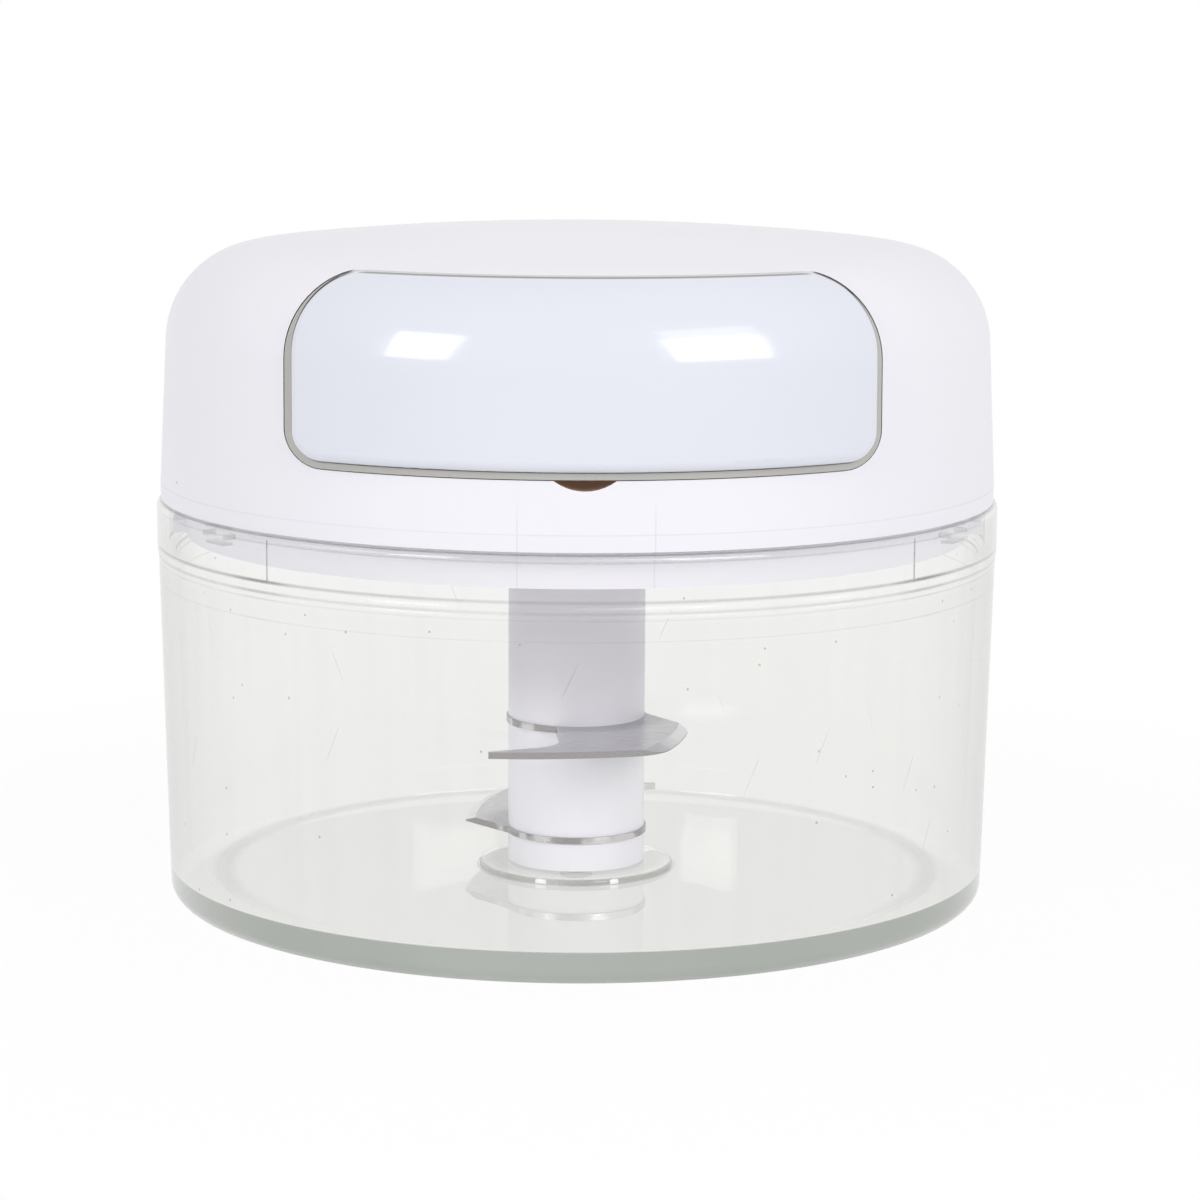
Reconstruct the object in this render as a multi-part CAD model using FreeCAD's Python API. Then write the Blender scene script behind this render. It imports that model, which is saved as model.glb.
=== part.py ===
"""Hand chopper worked by a pull cord.

A clear bowl stands on its floor with a white blade post turning on a steel pin.
The white domed lid holds a cord reel, its return spring and a one-way clutch,
and the wide handle that pulls the cord is nested in the front of the lid.

Millimetres. Origin: centre of the bowl's underside. +Z up, the handle faces -Y.
"""
import FreeCAD, Part
import math
import os

V = FreeCAD.Vector
UP = V(0, 0, 1)
ORIGIN = V(0, 0, 0)
FRONT_DEG = -90.0                # direction of the handle, seen from above

# ---------------------------------------------------------------- clearances
GAP = 0.3                        # between bodies that move past each other
TOUCH = 0.01                     # two faces closer than this are taken as one
RUNNING = 0.05                   # radial clearance of a shaft in its bush
HANDLE_FIT = 0.15                # around the handle, which is a sliding fit in its pocket
HANDLE_GAP = 0.4                 # behind the handle, when it is home

# ---------------------------------------------------------------- bowl
BOWL_HEIGHT = 62.0               # underside to the top of the collar
COLLAR_R = 65.0                  # outside of the collar
COLLAR_HEIGHT = 7.1              # plain band of the collar
COLLAR_SLOPE = 1.8               # height of the slope below the band
COLLAR_WALL = 2.6
LIP_ROUND = 1.0                  # rounding of the mouth
COLLAR_STEP = 0.2                # collar beyond the wall below it
WALL_TAPER = 1.25                # the wall draws in this much down to the foot
BOWL_WALL = 2.7
FLOOR_THICK = 3.0
FOOT_ROUND = 2.3
FLOOR_ROUND = 5.0                # inside corner between floor and wall
FLOOR_BOSS_R = 15.2
FLOOR_BOSS_RISE = 0.9
BOWL_TURN_DEG = 2.0              # how far the collar's marks sit off the handle's line
RECESS_FROM_DEG = 48.0           # the side recesses start this far from the front
RECESS_DEPTH = 0.8
LUG_FROM_DEG = 60.3              # centre of each locking lug, from the front or the back
LUG_WIDTH = 5.4
LUG_DEPTH = 1.8
LUG_TOP_DROP = 0.5               # below the mouth
LUG_HEIGHT = 2.2
LUG_ROUND = 0.8

# ---------------------------------------------------------------- pivot pin and blade post
PIN_R = 2.5
PIN_HEIGHT = 20.0                # tip above the underside
PIN_SINK = 1.8                   # how deep it sits in the floor
PIN_NOSE = 0.8
POST_R = 10.7
POST_SHORT = 5.6                 # top of the post below the bowl's mouth
FOOT_HEIGHT = 4.4                # length of the lowest part of the post
SPACER_HEIGHT = 16.5
CORE_R = 6.6                     # core that the blades and spacer are threaded on
CORE_FLAT = 5.3                  # half distance over the core's two flats
CORE_ENTRY = 4.5                 # how far the core goes into the head
BUSH_R = 4.0
BUSH_LENGTH = 12.0
PIN_ROOM = 0.6                   # air above the pin's tip

# ---------------------------------------------------------------- blades
BLADE_THICK = 1.0
BLADE_EYE_R = 11.0               # round eye of the blade, a little proud of the post
FRONT_R = 64.0                   # long blunt edge in front, from the tip to the corner
FRONT_X = -7.5                   # centre of its arc
FRONT_Y = 33.4
TIP_DEG = -95.5                  # the tip, on the arc of the front
TIP_WIDTH = 0.6
CORNER_DEG = -75.7               # where the front turns into the corner
CORNER_R = 8.0
SIDE_DEG = -19.0                 # where the corner turns into the cutting side
SIDE_R = 70.0
UPPER_HEEL_DEG = -8.5            # where the side turns into the rounded heel
UPPER_HEEL_R = 4.0
UPPER_BACK_DEG = 2.0             # where the back edge runs into the eye
LOWER_HEEL_DEG = -4.5            # the lower blade has a longer, sharper heel
LOWER_HEEL_R = 1.2
LOWER_BACK_DEG = 16.0
LOWER_TURN_DEG = 180.0
HOLLOW_R = 6.1                   # hollow behind the tip
HOLLOW_X = -8.9                  # its centre
HOLLOW_Y = -21.4
HOLLOW_EYE_DEG = 252.0           # where the hollow side leaves the eye
BEVEL_R = 50.0                   # inner line of the ground bevel
BEVEL_X = -34.1                  # its centre
BEVEL_Y = -3.7
BEVEL_WIDTH = 1.7
EDGE_THICK = 0.2

# ---------------------------------------------------------------- lid shell
FLANGE_THICK = 2.4               # white band under the shell
SHELL_STEP = 0.6                 # collar of the bowl beyond the shell's lower edge
SHELL_DRAFT_DEG = 2.75           # lean of its side
SHOULDER_R = 14.8
DOME_R = 454.0
CROWN_RISE = 38.9                # crown above the shell's lower edge
SHELL_WALL = 2.2
LID_BOSS_R = 4.0
LID_SCREW_RING = 46.0
LID_SCREW_DEGS = (30.0, 150.0, 210.0, 330.0)

# ---------------------------------------------------------------- lid base
SKIRT_ROOM = 0.8                 # between the skirt and the bowl's lugs
SKIRT_WALL = 2.0
SKIRT_DROP = 5.7                 # below the flange
TAB_ROOM = 0.6                   # between a locking tab and the bowl's recess
TAB_WIDTH_DEG = 12.0
TAB_HEIGHT = 2.0
LIP_WALL = 1.8                   # register lip inside the shell
LIP_HEIGHT = 2.4
SLEEVE_R = 9.6                   # holds the drive bush
SLEEVE_DROP = 3.3
SLEEVE_RISE = 4.3

# ---------------------------------------------------------------- screws
SCREW_R = 1.5
SCREW_HOLE_R = 1.7
SCREW_HEAD_R = 3.1
SCREW_HEAD_HEIGHT = 1.9
LID_SCREW_LENGTH = 14.0
CASE_SCREW_LENGTH = 10.0
HANDLE_SCREW_LENGTH = 5.5
RECESS_ROOM = 0.3                # around a sunk screw head

# ---------------------------------------------------------------- drive
DRIVE_BUSH_WALL = 1.9
STEM_R = 6.0
STEM_TAIL = 1.4                  # stem below the bush, with the clip's groove
CLIP_THICK = 0.8
CLIP_GROOVE = 0.6                # depth of a clip's groove
CLIP_WALL = 2.2
WASHER_THICK = 0.8
HEX_FLAT = 3.5                   # half distance over the hexagon's flats
HEX_CATCH = 6.8                  # length of hexagon inside the post
HEX_PLAY = 0.35                  # clearance of the hexagon in its socket
CARRIER_R = 19.4
CARRIER_THICK = 2.0
PAWL_RING = 16.5
PAWL_EYE_R = 2.4
PAWL_THICK = 5.0
PAWL_PIN_R = 1.2
PAWL_TIP_WIDTH = 2.4
PAWL_SPRING_THICK = 0.3
PAWL_SPRING_LENGTH = 6.0
RATCHET_TEETH = 24
RATCHET_ROOT_R = 22.0
RATCHET_DEPTH = 1.7
RATCHET_RAKE_DEG = 30.0          # lean of a tooth's flank, so that the pawl can swing clear
PAWL_BITE = 0.9                  # how far a pawl's tip reaches past the tooth tips
PAWL_BACK_TEETH = 2              # whole teeth between a pawl's pin and its tip
RATCHET_HEIGHT = 6.6

# ---------------------------------------------------------------- reel
REEL_FLANGE_R = 33.0
REEL_FLANGE_THICK = 1.6
DRUM_R = 24.0
DRUM_HEIGHT = 8.0
REEL_HUB_R = 6.2
REEL_HUB_RISE = 7.5              # hub above the upper flange
AXLE_R = 2.5
REEL_BUSH_WALL = 1.45
CORD_D = 1.8
CORD_TURNS = 4                   # turns side by side on the drum

# ---------------------------------------------------------------- return spring and its case
CASE_R = 31.0
CASE_WALL = 1.8
CASE_INSIDE = 10.3               # height of the spring's room
CASE_ROOF = 1.7
CASE_COVER_THICK = 1.2
CASE_LIFT = 1.0                  # above the reel
CASE_EAR_R = 3.6
CASE_EAR_THICK = 2.4
CASE_SCREW_RING = 38.0
CASE_SCREW_DEGS = (60.0, 180.0, 300.0)
AXLE_BOSS_R = 5.5
SPRING_THICK = 0.4
SPRING_TURNS = 8
SPRING_EDGE_ROOM = 0.9           # above and below the strip

# ---------------------------------------------------------------- handle
HANDLE_HALF = 42.5               # half width, over the grey back
HANDLE_RISE = 7.75               # lower edge of the grey back above the shell's foot
HANDLE_DEPTH = 10.0              # from the shell's foot in to the hollow side
HANDLE_TOP_CORNER = 12.4
HANDLE_LOW_CORNER = 5.3
HANDLE_WALL = 1.8
RIM_PROUD = 0.2                  # grey edge beyond the line of the lid
SEAM = 0.12                      # between the grey edge and the cover let into it
COVER_SIDE_INSET = 1.0           # the white cover stands inside the grey edge
COVER_LOW_INSET = 1.05
COVER_OFF = 0.15                 # it sits this far to one side in its bed
COVER_PROUD = 1.8                # beyond the line of the lid
COVER_SINK = 0.3                 # its seat, inside the line of the lid
COVER_ROUND = 1.5
HANDLE_SCREW_X = 26.0
HANDLE_BOSS_R = 3.4
NOTCH_R = 7.4                    # finger notch under the handle
NOTCH_DEPTH = 1.6                # below the handle's lower edge
CORD_RISE = 17.3                 # cord above the shell's foot, where it leaves the lid
TOGGLE_R = 3.0
TOGGLE_LENGTH = 3.2
TOGGLE_COVERED = 2.2             # length of cord held inside the toggle
EYELET_R = 2.3
EYELET_FLANGE_R = 4.0
EYELET_FLANGE_THICK = 1.2
EYELET_BORE = 1.4
EYELET_PAD_R = 5.4
EYELET_PAD_RISE = 1.5
CORD_BEND_BEFORE = 4.0           # corner of the cord's route, inside the eyelet pad
CORD_BEND_SHARE = 0.45           # share of the shorter run that the corner's arc takes up

# ---------------------------------------------------------------- worked-out sizes
COLLAR_IN_R = COLLAR_R - COLLAR_WALL
RECESS_R = COLLAR_IN_R + RECESS_DEPTH
LUG_IN_R = RECESS_R - LUG_DEPTH
WALL_TOP_R = COLLAR_R - COLLAR_STEP
WALL_FOOT_R = WALL_TOP_R - WALL_TAPER
SHELL_FOOT_R = COLLAR_R - SHELL_STEP
SKIRT_R = LUG_IN_R - SKIRT_ROOM
TAB_R = RECESS_R - TAB_ROOM
HANDLE_BACK_R = SHELL_FOOT_R - HANDLE_DEPTH
FRONT_CENTRE = (FRONT_X, FRONT_Y)
HOLLOW_CENTRE = (HOLLOW_X, HOLLOW_Y)
BEVEL_CENTRE = (BEVEL_X, BEVEL_Y)
FLOOR_BOSS_TOP = FLOOR_THICK + FLOOR_BOSS_RISE
POST_TOP = BOWL_HEIGHT - POST_SHORT
POST_FOOT_Z = FLOOR_BOSS_TOP + GAP
BLADE_LOWER_Z = POST_FOOT_Z + FOOT_HEIGHT
SPACER_Z = BLADE_LOWER_Z + BLADE_THICK
BLADE_UPPER_Z = SPACER_Z + SPACER_HEIGHT
HEAD_Z = BLADE_UPPER_Z + BLADE_THICK
COLLAR_LOW_Z = BOWL_HEIGHT - COLLAR_HEIGHT
WALL_TOP_Z = COLLAR_LOW_Z - COLLAR_SLOPE
FLANGE_Z = BOWL_HEIGHT + GAP
SHELL_Z = FLANGE_Z + FLANGE_THICK
CROWN_Z = SHELL_Z + CROWN_RISE
HANDLE_LOW = SHELL_Z + HANDLE_RISE
CORD_LEVEL = SHELL_Z + CORD_RISE
SLEEVE_LOW_Z = FLANGE_Z - SLEEVE_DROP
SLEEVE_TOP_Z = SHELL_Z + SLEEVE_RISE
STEM_LOW_Z = SLEEVE_LOW_Z - STEM_TAIL
CARRIER_Z = SLEEVE_TOP_Z + WASHER_THICK + GAP
CARRIER_TOP_Z = CARRIER_Z + CARRIER_THICK
PAWL_Z = CARRIER_TOP_Z + GAP
REEL_Z = CARRIER_TOP_Z
DRUM_Z = REEL_Z + REEL_FLANGE_THICK
RATCHET_TOP_Z = REEL_Z + RATCHET_HEIGHT
DRUM_TOP_Z = DRUM_Z + DRUM_HEIGHT
REEL_TOP_Z = DRUM_TOP_Z + REEL_FLANGE_THICK
HUB_TOP_Z = REEL_TOP_Z + REEL_HUB_RISE
CASE_COVER_Z = REEL_TOP_Z + CASE_LIFT
CASE_Z = CASE_COVER_Z + CASE_COVER_THICK
CASE_ROOF_Z = CASE_Z + CASE_INSIDE
CASE_TOP_Z = CASE_ROOF_Z + CASE_ROOF
CASE_SEAT_Z = CASE_Z + CASE_EAR_THICK
POCKET_R = HANDLE_BACK_R - HANDLE_GAP
WINDING_R = DRUM_R + CORD_D
BEYOND = 2 * COLLAR_R            # reach of a cut that passes out of the whole chopper


# ---------------------------------------------------------------- helpers
def cylinder(r, z0, z1, at=(0.0, 0.0)):
    """Upright cylinder between two heights."""
    return Part.makeCylinder(r, z1 - z0, V(at[0], at[1], z0), UP)


def tube(r_out, r_in, z0, z1, at=(0.0, 0.0)):
    """Upright tube between two heights."""
    return cylinder(r_out, z0, z1, at).cut(cylinder(r_in, z0, z1, at))


def rod(r, y0, y1, x=0.0, z=0.0):
    """Cylinder along Y, from y0 back to y1."""
    return Part.makeCylinder(r, y1 - y0, V(x, y0, z), V(0, 1, 0))


def on_ring(ring, deg):
    """Point at an angle on a circle about the axis."""
    a = math.radians(deg)
    return (ring * math.cos(a), ring * math.sin(a))


def arc_point(centre, r, deg):
    """Point on a circle in the plan."""
    a = math.radians(deg)
    return V(centre[0] + r * math.cos(a), centre[1] + r * math.sin(a), 0)


def spin(face):
    """Solid of revolution about the axis."""
    return face.revolve(ORIGIN, UP, 360)


def face_of(edges):
    """Flat face inside a closed run of edges."""
    return Part.Face(Part.Wire([e.toShape() for e in edges]))


def line(a, b):
    return Part.LineSegment(a, b)


def rz(r, z):
    """Point of a turned section."""
    return V(r, 0, z)


def turned(points):
    """Solid turned from a section with straight sides."""
    closed = [rz(r, z) for r, z in points]
    closed.append(closed[0])
    return spin(Part.Face(Part.makePolygon(closed)))


def sector(r_in, r_out, z0, z1, mid_deg, width_deg):
    """Piece of a tube, centred on an angle."""
    block = Part.makeCylinder(r_out, z1 - z0, V(0, 0, z0), UP, width_deg)
    block = block.cut(cylinder(r_in, z0, z1))
    block.rotate(ORIGIN, UP, mid_deg - width_deg / 2)
    return block


def group(solids):
    return Part.makeCompound(solids)


def hexagon(half_flat, z0, z1):
    """Upright hexagonal bar with two of its flats facing along X."""
    corner_r = half_flat / math.cos(math.pi / 6)
    points = [arc_point((0, 0), corner_r, 30 + 60 * k) for k in range(6)]
    points.append(points[0])
    bar = Part.Face(Part.makePolygon(points)).extrude(V(0, 0, z1 - z0))
    bar.translate(V(0, 0, z0))
    return bar


def save(name, shape):
    shape.exportStep("parts/%s.step" % name)


# ---------------------------------------------------------------- bowl
def bowl_blank():
    """Turned form of the bowl: floor, tapering wall and collar, all one thickness of plastic."""
    wall_in_top = WALL_TOP_R - BOWL_WALL
    wall_in_foot = WALL_FOOT_R - BOWL_WALL
    foot_mid = FOOT_ROUND * (1 - math.cos(math.pi / 4))
    floor_mid = FLOOR_ROUND * (1 - math.cos(math.pi / 4))
    lip_mid = LIP_ROUND * (1 - math.cos(math.pi / 4))
    floor_end = wall_in_foot - FLOOR_ROUND
    corner_top = FLOOR_THICK + FLOOR_ROUND
    centre = rz(0, 0)
    foot_a = rz(WALL_FOOT_R - FOOT_ROUND, 0)
    foot_b = rz(WALL_FOOT_R, FOOT_ROUND)
    slope_a = rz(WALL_TOP_R, WALL_TOP_Z)
    slope_b = rz(COLLAR_R, COLLAR_LOW_Z)
    lip_a = rz(COLLAR_R, BOWL_HEIGHT - LIP_ROUND)
    lip_b = rz(COLLAR_R - LIP_ROUND, BOWL_HEIGHT)
    lip_c = rz(COLLAR_IN_R, BOWL_HEIGHT)
    ledge_a = rz(COLLAR_IN_R, COLLAR_LOW_Z)
    ledge_b = rz(wall_in_top, WALL_TOP_Z)
    corner_a = rz(wall_in_foot, corner_top)
    corner_b = rz(floor_end, FLOOR_THICK)
    boss_a = rz(FLOOR_BOSS_R, FLOOR_THICK)
    boss_b = rz(FLOOR_BOSS_R, FLOOR_BOSS_TOP)
    boss_c = rz(0, FLOOR_BOSS_TOP)
    foot_m = rz(WALL_FOOT_R - foot_mid, foot_mid)
    lip_m = rz(COLLAR_R - lip_mid, BOWL_HEIGHT - lip_mid)
    corner_m = rz(wall_in_foot - floor_mid, FLOOR_THICK + floor_mid)
    return spin(face_of([
        line(centre, foot_a), Part.Arc(foot_a, foot_m, foot_b), line(foot_b, slope_a),
        line(slope_a, slope_b), line(slope_b, lip_a), Part.Arc(lip_a, lip_m, lip_b),
        line(lip_b, lip_c), line(lip_c, ledge_a), line(ledge_a, ledge_b),
        line(ledge_b, corner_a), Part.Arc(corner_a, corner_m, corner_b),
        line(corner_b, boss_a), line(boss_a, boss_b), line(boss_b, boss_c),
        line(boss_c, centre)]))


def lug(deg):
    """Locking lug inside the mouth, a bar with rounded corners."""
    low = BOWL_HEIGHT - LUG_TOP_DROP - LUG_HEIGHT
    bar = Part.makeBox(COLLAR_R, LUG_WIDTH, LUG_HEIGHT, V(0, -LUG_WIDTH / 2, low))
    bar = bar.makeFillet(LUG_ROUND, [e for e in bar.Edges if e.BoundBox.XLength > COLLAR_R / 2])
    bar = bar.common(tube(COLLAR_R - LIP_ROUND, LUG_IN_R, low, BOWL_HEIGHT))
    bar.rotate(ORIGIN, UP, deg)
    return bar


def bowl():
    """Bowl with its two side recesses, four locking lugs and the pin's hole."""
    recess_width = 180 - 2 * RECESS_FROM_DEG
    shape = bowl_blank()
    for side_deg in (0.0, 180.0):
        shape = shape.cut(sector(COLLAR_IN_R - GAP, RECESS_R, COLLAR_LOW_Z, BOWL_HEIGHT,
                                 side_deg + BOWL_TURN_DEG, recess_width))
    for side_deg in (0.0, 180.0):
        for turn in (-1, 1):
            lug_deg = side_deg + turn * (90 - LUG_FROM_DEG) + BOWL_TURN_DEG
            shape = shape.fuse(lug(lug_deg))
    shape = shape.cut(cylinder(PIN_R, FLOOR_BOSS_TOP - PIN_SINK, FLOOR_BOSS_TOP))
    return shape.removeSplitter()


def pivot_pin():
    """Steel pin set into the floor; the blade post turns on it."""
    pin = cylinder(PIN_R, FLOOR_BOSS_TOP - PIN_SINK, PIN_HEIGHT)
    tip = [e for e in pin.Edges if e.BoundBox.ZMin > PIN_HEIGHT - PIN_NOSE / 2]
    return pin.makeFillet(PIN_NOSE, tip)


# ---------------------------------------------------------------- blade post
def core(z0, z1):
    """Round core with two flats, which keeps the blades from turning on the post."""
    flats = Part.makeBox(2 * CORE_R, 2 * CORE_FLAT, z1 - z0, V(-CORE_R, -CORE_FLAT, z0))
    return cylinder(CORE_R, z0, z1).common(flats)


def post_foot():
    """Lowest part of the post, with the core that everything else is threaded on."""
    bush_top = POST_FOOT_Z + BUSH_LENGTH
    pin_room = PIN_HEIGHT + PIN_ROOM
    shape = cylinder(POST_R, POST_FOOT_Z, BLADE_LOWER_Z)
    shape = shape.fuse(core(BLADE_LOWER_Z, HEAD_Z + CORE_ENTRY))
    shape = shape.cut(cylinder(BUSH_R, POST_FOOT_Z, bush_top))
    shape = shape.cut(cylinder(PIN_R + GAP, bush_top, pin_room))
    return shape.removeSplitter()


def pin_bush():
    """Plain bearing pressed into the post; it runs on the pin."""
    return tube(BUSH_R, PIN_R + RUNNING, POST_FOOT_Z, POST_FOOT_Z + BUSH_LENGTH)


def post_spacer():
    """Sleeve between the two blades."""
    return cylinder(POST_R, SPACER_Z, BLADE_UPPER_Z).cut(core(SPACER_Z, BLADE_UPPER_Z))


def post_head():
    """Upper part of the post, with the socket for the lid's hexagon shaft."""
    socket_z = POST_TOP - HEX_CATCH - PIN_ROOM
    shape = cylinder(POST_R, HEAD_Z, POST_TOP)
    shape = shape.cut(core(HEAD_Z, HEAD_Z + CORE_ENTRY))
    shape = shape.cut(hexagon(HEX_FLAT + HEX_PLAY, socket_z, POST_TOP))
    return shape.removeSplitter()


def inner_centre(centre, r, deg, next_r):
    """Centre of the arc that carries on from a point of a larger or smaller arc without a corner."""
    at = arc_point(centre, r - next_r, deg)
    return at.x, at.y


def touch_deg(centre, r, point, side):
    """Direction from a circle's centre to where a line from an outside point touches it."""
    away = point - V(centre[0], centre[1], 0)
    return math.degrees(math.atan2(away.y, away.x) + side * math.acos(r / away.Length))


def curve(centre, r, from_deg, to_deg):
    """Arc in the plan between two directions."""
    return Part.Arc(arc_point(centre, r, from_deg), arc_point(centre, r, (from_deg + to_deg) / 2),
                    arc_point(centre, r, to_deg))


def blade_outline(heel_deg, heel_r, back_deg):
    """Outline of a blade without its eye; the heel and the back edge differ between the two."""
    corner_at = inner_centre(FRONT_CENTRE, FRONT_R, CORNER_DEG, CORNER_R)
    side_at = inner_centre(corner_at, CORNER_R, SIDE_DEG, SIDE_R)
    heel_at = inner_centre(side_at, SIDE_R, heel_deg, heel_r)
    eye_right = arc_point((0, 0), BLADE_EYE_R, back_deg)
    eye_left = arc_point((0, 0), BLADE_EYE_R, HOLLOW_EYE_DEG)
    tip_back = arc_point(FRONT_CENTRE, FRONT_R - TIP_WIDTH, TIP_DEG)
    front = curve(FRONT_CENTRE, FRONT_R, TIP_DEG, CORNER_DEG)
    corner_arc = curve(corner_at, CORNER_R, CORNER_DEG, SIDE_DEG)
    side = curve(side_at, SIDE_R, SIDE_DEG, heel_deg)
    heel = curve(heel_at, heel_r, heel_deg, touch_deg(heel_at, heel_r, eye_right, -1))
    hollow = curve(HOLLOW_CENTRE, HOLLOW_R, touch_deg(HOLLOW_CENTRE, HOLLOW_R, eye_left, -1),
                   touch_deg(HOLLOW_CENTRE, HOLLOW_R, tip_back, 1))
    return face_of([
        front, corner_arc, side, heel, line(heel.EndPoint, eye_right), line(eye_right, ORIGIN),
        line(ORIGIN, eye_left), line(eye_left, hollow.StartPoint), hollow,
        line(hollow.EndPoint, tip_back), line(tip_back, front.StartPoint)])


def blade(outline, z):
    """Curved blade stamped from sheet steel: blunt front, bevel ground round its side and heel."""
    low = cylinder(BEVEL_R + 2 * BEVEL_WIDTH, 0, EDGE_THICK, BEVEL_CENTRE)
    ground = Part.makeCone(BEVEL_R + BEVEL_WIDTH, BEVEL_R, BLADE_THICK - EDGE_THICK,
                           V(BEVEL_X, BEVEL_Y, EDGE_THICK), UP)
    shape = outline.extrude(V(0, 0, BLADE_THICK)).common(low.fuse(ground))
    shape = shape.fuse(cylinder(BLADE_EYE_R, 0, BLADE_THICK)).removeSplitter()
    shape.translate(V(0, 0, z))
    return shape.cut(core(z, z + BLADE_THICK))


def blade_upper():
    """Upper blade, with a round heel."""
    return blade(blade_outline(UPPER_HEEL_DEG, UPPER_HEEL_R, UPPER_BACK_DEG), BLADE_UPPER_Z)


def blade_lower():
    """Lower blade, turned half way round from the upper one."""
    shape = blade(blade_outline(LOWER_HEEL_DEG, LOWER_HEEL_R, LOWER_BACK_DEG), BLADE_LOWER_Z)
    shape.rotate(ORIGIN, UP, LOWER_TURN_DEG)
    return shape


# ---------------------------------------------------------------- lid shell
def shoulder_centre():
    """Centre of the arc that joins the leaning side to the shallow dome."""
    lean = math.radians(SHELL_DRAFT_DEG)
    dome_z = CROWN_Z - DOME_R
    start_r = SHELL_FOOT_R - SHOULDER_R * math.cos(lean)
    start_z = SHELL_Z - SHOULDER_R * math.sin(lean) - dome_z
    along = -start_r * math.sin(lean) + start_z * math.cos(lean)
    reach = (DOME_R - SHOULDER_R) ** 2 - start_r ** 2 - start_z ** 2
    travel = -along + math.sqrt(along ** 2 + reach)
    centre_r = start_r - travel * math.sin(lean)
    centre_z = start_z + dome_z + travel * math.cos(lean)
    return centre_r, centre_z


def shell_line(offset, low_z):
    """Turned solid inside the lid's outer line, moved out by an offset, from a height up."""
    lean = math.radians(SHELL_DRAFT_DEG)
    arc_r, arc_z = shoulder_centre()
    dome_z = CROWN_Z - DOME_R
    dome_tilt = math.atan2(arc_z - dome_z, arc_r)
    r = SHOULDER_R + offset
    side_top = rz(arc_r + r * math.cos(lean), arc_z + r * math.sin(lean))
    side_low = rz(side_top.x + (side_top.z - low_z) * math.tan(lean), low_z)
    mid_tilt = (lean + dome_tilt) / 2
    arc_mid = rz(arc_r + r * math.cos(mid_tilt), arc_z + r * math.sin(mid_tilt))
    arc_end = rz(arc_r + r * math.cos(dome_tilt), arc_z + r * math.sin(dome_tilt))
    dome_r = DOME_R + offset
    top_tilt = (dome_tilt + math.pi / 2) / 2
    dome_mid = rz(dome_r * math.cos(top_tilt), dome_z + dome_r * math.sin(top_tilt))
    crown = rz(0, dome_z + dome_r)
    low_centre = rz(0, low_z)
    return spin(face_of([
        line(low_centre, side_low), line(side_low, side_top),
        Part.Arc(side_top, arc_mid, arc_end), Part.Arc(arc_end, dome_mid, crown),
        line(crown, low_centre)]))


def shoulder_height(r):
    """Height of the lid's outer line at a radius on its shoulder."""
    arc_r, arc_z = shoulder_centre()
    return arc_z + math.sqrt(SHOULDER_R ** 2 - (r - arc_r) ** 2)


HANDLE_TOP = shoulder_height(POCKET_R) + HANDLE_FIT


def corner(x, z, r, from_deg):
    """Quarter round of the handle's front outline."""
    places = []
    for deg in (from_deg, from_deg + 45, from_deg + 90):
        a = math.radians(deg)
        places.append(V(x + r * math.cos(a), -BEYOND, z + r * math.sin(a)))
    return Part.Arc(*places)


def handle_outline(side, low_side, top_side):
    """Bar with the handle's front outline, each side moved out by its own amount."""
    half = HANDLE_HALF + side
    low = HANDLE_LOW - low_side
    top = HANDLE_TOP + top_side
    top_round = HANDLE_TOP_CORNER + side
    low_round = HANDLE_LOW_CORNER + side
    rounds = [corner(half - low_round, low + low_round, low_round, -90),
              corner(half - top_round, top - top_round, top_round, 0),
              corner(top_round - half, top - top_round, top_round, 90),
              corner(low_round - half, low + low_round, low_round, 180)]
    edges = []
    for this, following in zip(rounds, rounds[1:] + rounds[:1]):
        edges.append(this)
        edges.append(line(this.EndPoint, following.StartPoint))
    return face_of(edges).extrude(V(0, BEYOND, 0))


def cover_outline(grow, top_side):
    """Bar with the outline of the cover, or of the bed that it lies in."""
    bar = handle_outline(grow - COVER_SIDE_INSET, grow - COVER_LOW_INSET, top_side)
    bar.translate(V(COVER_OFF, 0, 0))
    return bar


def pocket(grow, floor_r):
    """Space of the handle, taken from the lid: its outline outside a round floor."""
    return handle_outline(grow, grow, grow).cut(cylinder(floor_r, 0, BEYOND))


def notch(grow):
    """Round scoop under the middle of the handle, for a fingertip."""
    z = HANDLE_LOW - NOTCH_DEPTH + NOTCH_R
    return rod(NOTCH_R + grow, -BEYOND, 0, 0, z).cut(
        cylinder(POCKET_R - grow, 0, BEYOND))


def eyelet_seat_y():
    """Flat face of the pad that carries the cord eyelet."""
    return -(POCKET_R - SHELL_WALL) + EYELET_PAD_RISE


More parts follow.
